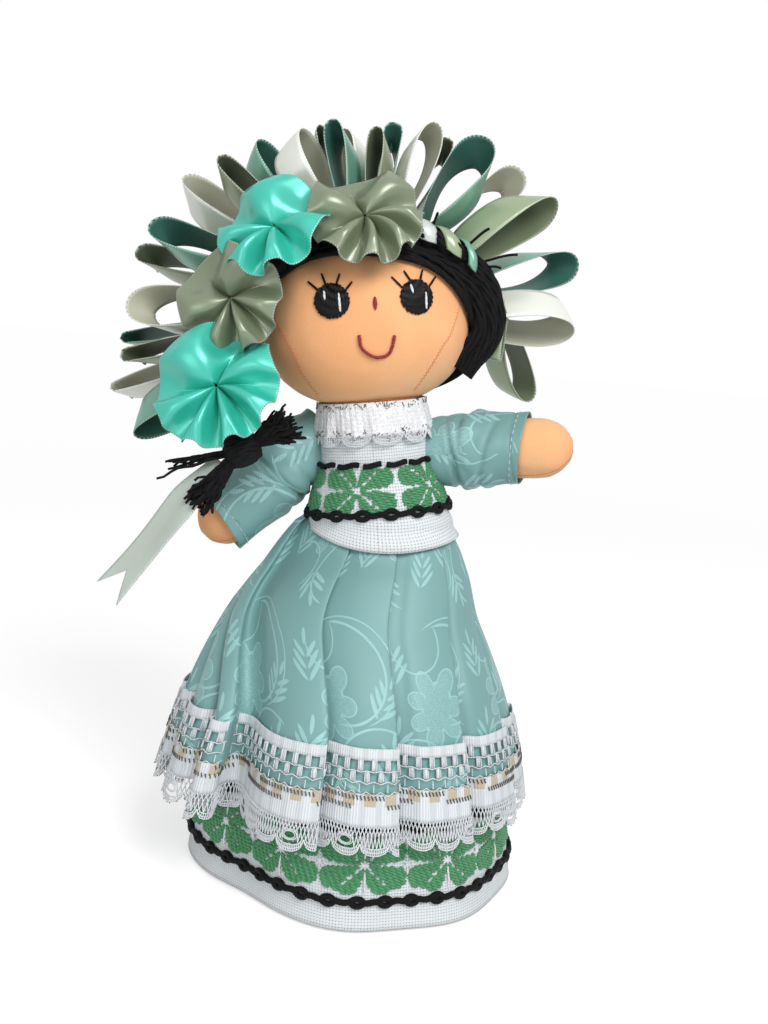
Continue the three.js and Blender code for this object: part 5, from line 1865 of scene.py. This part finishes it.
FRONT_ROW, BACK_ROW = 5.5, 23.0
loop_table = [
    # number, angle, reach share, half width, turn, cone, bend, colour
    (1, 202, 1.20, 8.0, 50, 35, 0, "green"),
    (2, 195, 1.23, 3.6, -30, 30, 0, "cream"),
    (3, 188, 1.13, 3.4, -20, 42, 0, "olive"),
    (4, 184, 1.13, 3.2, -20, 35, 0, "green"),
    (5, 176.5, 1.08, 8.5, -22, 50, 0, "cream"),
    (6, 163, 1.08, 4.6, -25, 52, 0, "olive"),
    (7, 156.5, 1.04, 6.0, -30, 52, 0, "green"),
    (8, 142, 1.02, 6.2, -42, 38, 0, "cream"),
    (9, 132, 0.94, 4.2, -24, 35, 0, "olive"),
    (10, 121, 0.91, 7.5, -52, 28, 0, "green"),
    (11, 110, 0.85, 9.5, -60, 20, 0, "cream"),
    (12, 100, 0.87, 2.8, -14, 30, 0, "olive"),
    (13, 94, 0.86, 4.2, 28, 38, 0, "green"),
    (14, 88, 0.84, 5.0, 42, 30, 0, "cream"),
    (15, 80, 0.82, 3.6, 28, 32, 0, "olive"),
    (16, 75, 0.89, 3.4, 8, 50, 0, "green"),
    (17, 66, 0.90, 5.6, -10, 26, 0, "cream"),
    (18, 57.5, 0.91, 3.4, 15, 42, 0, "olive"),
    (19, 48.5, 0.97, 8.5, 30, 48, 0, "green"),
    (20, 36, 1.03, 7.0, 10, 52, 0, "cream"),
    (21, 27.5, 1.04, 8.5, -46, 46, 0, "sage"),
    (22, 9.5, 1.10, 7.5, -18, 52, 0, "green"),
    (23, -6, 0.99, 9.5, -46, 14, 0, "cream"),
    (24, -80, 0.48, 6.5, 24, 22, 4, "sage"),
]
loops = {}


RIBBON_THICKNESS = 0.35


def ribbon_loop(name, strip, loop_length, satins):
    across = np.linspace(0, LOOP_WIDTH, 9)
    points = placed(strip[:, ::-1], HEAD)
    return grid_piece(name, points, loop_length[:, None], across, satins, RIBBON_THICKNESS)


for number, angle, share, half_width, turn, cone, bend, colour in loop_table:
    own_seat = dict(root=0.0, start=(58.5, -2.0)) if number == 24 else {}
    strip, loop_length = loop_strip(
        angle, share * REACH, half_width, turn, FRONT_ROW if number % 2 else BACK_ROW, cone, bend=bend,
        **own_seat,
    )
    made = ribbon_loop(f"satin_loop_{number:02d}", strip, loop_length, loop_satin[colour])
    loops[number] = (made, loop_length[-1])
small_strip, small_length = loop_strip(
    -101, 25.0, 2.0, 60, -2.0, 10, root=0.0, width=9.0, start=(55.5, 1.0)
)
small_loop = ribbon_loop("small_sage_loop", small_strip, small_length, loop_satin["sage"])
print("loops:", len(loops) + 1, "ribbon in all", round(sum(length for _, length in loops.values())), "mm")

# %% [markdown]
# ## Gathered rosettes
# A rosette is a length of 25 mm satin ribbon with a thread run along one edge and pulled tight. The
# edge bunches into a point, and the free edge, which is longer than the circle it has to fill, waves up
# and down. So the surface is a disc whose height swings more towards its rim, with finer folds near the
# middle, and whose folds lean over sideways.

# %% Rosettes
ROSETTE_DEPTH = 7.5
SEAT_LIFT = 6.8


def rosette(name, point, way, radius, lift, waves, seed, satins):
    """A gathered ribbon rosette on a seat, facing along a direction, and the length of its rim."""
    generator = np.random.default_rng(seed)
    way = unit(way)
    across = unit(np.cross([0.0, 0.0, 1.0], way))
    up = np.cross(way, across)
    columns = 360
    share = np.linspace(0.03, 1, 30)[:, None]
    angle = (np.arange(columns) / columns * 2 * math.pi)[None, :]
    bunch, loose = 0.62 * waves, generator.uniform(1.2, 2.0)
    often = waves - bunch * np.cos(angle - loose)
    phase = waves * angle - bunch * np.sin(angle - loose) + generator.uniform(0, 6)
    size = (waves / often) ** 0.3 * (1 + 0.2 * np.sin(2 * angle + generator.uniform(0, 6)))
    outer = smooth_step((share - 0.25) / 0.5)
    pleat = 2 * np.abs(np.sin(phase / 2)) ** 0.6 - 1
    wave = -np.cos(phase - 0.08 * np.sin(2 * phase))
    ridge = (1 - outer) * pleat + outer * wave
    height = ROSETTE_DEPTH * size * ridge * (0.9 * share**0.6 * (1 - share) + 0.6 * share**1.2)
    height = height + 3.5 * np.sin(math.pi * np.minimum(1, share * 0.8)) - 0.4
    droop = smooth_step((share - 0.7) / 0.3) * np.maximum(0, wave) ** 2 * size
    height = height - 0.2 * ROSETTE_DEPTH * droop
    fold = 0.22 / often * share**0.8 * np.sin(2 * phase + 0.3) + 0.2 * (1 - share)
    far = radius * share * (1.05 - 0.06 * share * wave**2 * size)
    turned = angle + fold
    seat = np.array(point) + way * (SEAT_LIFT + lift)
    points = (
        seat + (far * np.cos(turned))[..., None] * across + (far * np.sin(turned))[..., None] * up
        + height[..., None] * way
    )
    rim_length = length_along(np.concatenate([points[-1], points[-1][:1]]))
    made = grid_piece(
        name, placed(points, HEAD)[::-1], rim_length, (share * ROSETTE_WIDTH)[::-1], satins,
        RIBBON_THICKNESS, closed=True,
    )
    return made, rim_length[-1]


rosette_table = [
    ("satin_rosette_top_left", crown_place(126.5), (-0.38, -0.66, 0.64), 22.0, 6.6, 5, 3, "teal"),
    ("satin_rosette_top_centre", crown_place(90) + [-1.5, 0, -3.5], (0.05, -0.8, 0.6), 22.0, 4.2, 6, 9,
     "sage"),
    ("satin_rosette_side", crown_place(160) + [-2.0, 0, 0], (-0.42, -0.9, 0.08), 21.0, 3.0, 5, 14, "sage"),
    ("satin_rosette_braid", side_line[int(0.62 * (len(side_line) - 1))], (-0.3, -0.84, 0.45), 24.5, 4.2, 6,
     21, "teal"),
]
rosettes = {name: rosette(name, *row, rosette_satin[colour]) for name, *row, colour in rosette_table}
print("rosette rims:", [round(length) for _, length in rosettes.values()], "mm")

# %% Swallow-tailed ribbon end
tail_way = unit(np.array([-0.707, 0.0, -0.707]))
tail_across = unit(np.array([0.66, -0.35, -0.66]))
tail_over = np.cross(tail_way, tail_across)
tail_share = np.linspace(-0.5, 0.5, 13)
tail_rows = []
for t in np.linspace(0, 1, 60):
    way_along = 7.8 + t * (68.0 - 12.0 * (1 - np.abs(tail_share) * 2))
    curl = 2.6 * math.sin(3.0 * t + 0.4) + 1.2 * math.sin(7 * t)
    turn = 0.45 * math.sin(2.4 * t)
    side_way = tail_across * math.cos(turn) + tail_over * math.sin(turn)
    opened = 15.0 * (0.5 + 0.5 * smooth_step(t / 0.35))
    tail_rows.append(
        KNOT + [-3.0, 3.3, 1.5] + way_along[:, None] * tail_way + (tail_share * opened)[:, None] * side_way
        + (curl + 1.2 * np.sin(tail_share * 3))[:, None] * tail_over
    )
tail = grid_piece(
    "satin_tail", placed(np.array(tail_rows), HEAD), np.linspace(0, 68, 60)[:, None],
    np.linspace(0, LOOP_WIDTH, 13), tail_satin, RIBBON_THICKNESS,
)
print("tail", size_of(tail))

# %% [markdown]
# ## What each piece belongs to
# Every piece but the sleeves now moves with the body of the CAD frame that it is sewn to. The pieces of
# the head turn with the head, and the braid with its ribbons swings by itself. A sleeve is sewn to the
# bodice at one end; here it is left in place, and only its cuff stitches and the seam of its arm go with the
# arm.

# %% Bodies
on_torso = [torso, bodice, bodice_flowers, bodice_chain_low, bodice_chain_high, collar, collar_edge,
            collar_fleck_threads, overskirt, lace_bands, lace_net, lace_blocks, metal_dashes, lace_edge,
            edge_glints, underskirt, lining, skirt_flowers, skirt_veins, *skirt_chains]
on_head = [head, *eyes, mouth, nose, face_seams, hair_yarn, crown_braid, *woven, stray_ends, small_loop,
           *(piece for piece, _ in loops.values()),
           *(rosettes[name][0] for name in list(rosettes)[:3])]
on_braid = [side_braid, *tassels, loose_ends, tail, rosettes["satin_rosette_braid"][0]]
for body, members in (
    ("torso", on_torso), ("head", on_head), ("braid", on_braid),
    ("arm_left", [arms["left"]]), ("arm_right", [arms["right"]]),
    ("leg_left", [legs["left"], shoes["left"]]), ("leg_right", [legs["right"], shoes["right"]]),
):
    for member in members:
        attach(member, body)
for side in ("left", "right"):
    shoulder = np.array(SHOULDERS[side])
    bend_from, bend_to = placed(
        [shoulder - 7 * unit(ARM_WAY[side]), shoulder + 9 * unit(ARM_WAY[side])], UPPER
    ) * MM
    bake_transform(applied(sleeves[side]))
    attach(hem_stitches[side], f"arm_{side}")
    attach(arm_seams[side], f"arm_{side}")
print("pieces:", len(on_torso) + len(on_head) + len(on_braid) + 10)

# %% Hide the CAD parts that the pieces replace
for piece, node in (
    (torso, "torso"), (bodice, "bodice"), (bodice_chain_low, "bodice_chain_lower"),
    (bodice_chain_high, "bodice_chain_upper"), (collar, "collar_lace"), (overskirt, "overskirt"),
    (lace_bands, "skirt_lace"), (underskirt, "underskirt"), (lining, "underskirt_lining"),
    (skirt_chains[0], "skirt_chain_lower"), (skirt_chains[1], "skirt_chain_upper"),
    (head, "head"), (eyes[0], "eye_right"), (eyes[1], "eye_left"), (mouth, "mouth"),
    (nose, "nose"), (hair_yarn, "hair_cap"), (crown_braid, "crown_braid"),
    (side_braid, "side_braid"), (tassels[0], "tassel_upper"), (tassels[1], "tassel_lower"),
    (tail, "braid_ribbon_tail"),
    *((piece, name.removeprefix("satin_")) for name, (piece, _) in rosettes.items()),
    *((arms[side], f"arm_{side}") for side in arms), *((legs[side], f"leg_{side}") for side in legs),
    *((sleeves[side], f"sleeve_{side}") for side in sleeves),
    *((shoes[side], f"shoe_{side}") for side in shoes),
    *((piece, f"ribbon_loop_{number:02d}") for number, (piece, _) in loops.items()),
):
    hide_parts(node)

# %% Lengths of the loop ribbons and rosette rims, and rosette areas, worked out and not used
SQUARE_MM = MM * MM
for piece, loop_length in loops.values():
    loop_length * MM
for name, (piece, rim_length) in rosettes.items():
    rim_length * MM
    0.62 * ROSETTE_WIDTH * rim_length * SQUARE_MM
small_length[-1] * MM

# %% [markdown]
# ## Floor, light and camera
# The doll stands on a plain pale floor in soft studio light: one lamp in front and to the right, a
# weaker one on the left, and an even pale room. The camera stands half a metre away, nine degrees
# above the doll, and is rolled a little, which makes the upright skirt lean in the picture.

# %% Floor
def seen_straight(tree):
    """One where the camera, a mirror or glass sees a thing, and nought where it only gives light."""
    path = add(tree, "ShaderNodeLightPath")
    camera_ray, glossy_ray, glass_ray = (
        Output(tree, path.outputs[f"Is {kind} Ray"]) for kind in ("Camera", "Glossy", "Transmission")
    )
    return calc("MAXIMUM", camera_ray, calc("MAXIMUM", glossy_ray, glass_ray))


floor_mesh = bpy.data.meshes.new("floor")
floor_mesh.from_pydata([(-6, -6, 0), (6, -6, 0), (6, 6, 0), (-6, 6, 0)], [], [(0, 1, 2, 3)])
floor = new_object("floor", floor_mesh)
floor_paper, tree, shader = finish_of("white paper floor")
floor_far = rise(vector_calc("LENGTH", object_place(tree)), 0.35, 1.6)
floor_colour = mix_colour(floor_far, (0.7, 0.7, 0.7, 1), (0.02, 0.02, 0.02, 1))
connect(tree, shader, {"Base Color": floor_colour, "Roughness": 1.0, "Specular IOR Level": 0.0})
floor_strength = seen_straight(tree) * (floor_far * 0.43 + 0.55)
floor_glow = out_of(tree, "ShaderNodeEmission", {"Strength": floor_strength})
floor_sum = out_of(tree, "ShaderNodeAddShader", {0: Output(tree, shader.outputs[0]), 1: floor_glow})
connect(tree, tree.nodes["Material Output"], {"Surface": floor_sum})
floor_mesh.materials.append(floor_paper)
print("floor", tuple(floor.dimensions))

# %% Light
ROOM_LIGHT, ROOM_SEEN = 0.47, 1.0
world = bpy.data.worlds.new("pale room")
bpy.context.scene.world = world
world.use_nodes = True
room = world.node_tree
room_strength = seen_straight(room) * (ROOM_SEEN - ROOM_LIGHT) + ROOM_LIGHT
connect(room, room.nodes["Background"], {"Color": (1, 1, 1, 1), "Strength": room_strength})
aim = DOLL.translation * MM + Vector((0, 0, 0.16))


def lamp(name, place, size, power):
    data = bpy.data.lights.new(name, "AREA")
    data.shape = "DISK"
    data.size = size
    data.energy = power
    made = new_object(name, data)
    made.location = aim + Vector(place)
    made.rotation_euler = (-Vector(place)).to_track_quat("-Z", "Y").to_euler()
    return made


lamps = [
    lamp("soft key", (0.55, -1.0, 0.95), 0.8, 15.4),
    lamp("fill", (-0.5, -1.1, 0.15), 0.8, 3.2),
]
print("lamps", [made.name for made in lamps])

# %% Camera
ELEVATION, ROLL = math.radians(9), math.radians(5.5)
AWAY = 0.52
SENSOR = 36.0
FOCAL_SHARE = 1238 / 1024  # the focal length, as a share of the height of the picture
right, level_up = Vector((1, 0, 0)), Vector((0, math.sin(ELEVATION), math.cos(ELEVATION)))
forward = Vector((0, math.cos(ELEVATION), -math.sin(ELEVATION)))
image_right = math.cos(ROLL) * right + math.sin(ROLL) * level_up
image_up = -math.sin(ROLL) * right + math.cos(ROLL) * level_up
target = DOLL.translation * MM + Vector((0.0009, 0, 0.1535))
camera_data = bpy.data.cameras.new("camera")
camera_data.sensor_fit = "VERTICAL"
camera_data.sensor_height = SENSOR
camera_data.lens = SENSOR * FOCAL_SHARE
camera = new_object("camera", camera_data)
turned = Matrix((image_right, image_up, -forward)).transposed().to_4x4()
camera.matrix_world = Matrix.Translation(target - AWAY * forward) @ turned
bpy.context.scene.camera = camera
bpy.context.scene.view_settings.view_transform = "Standard"
print("camera at", tuple(round(v, 3) for v in camera.location))
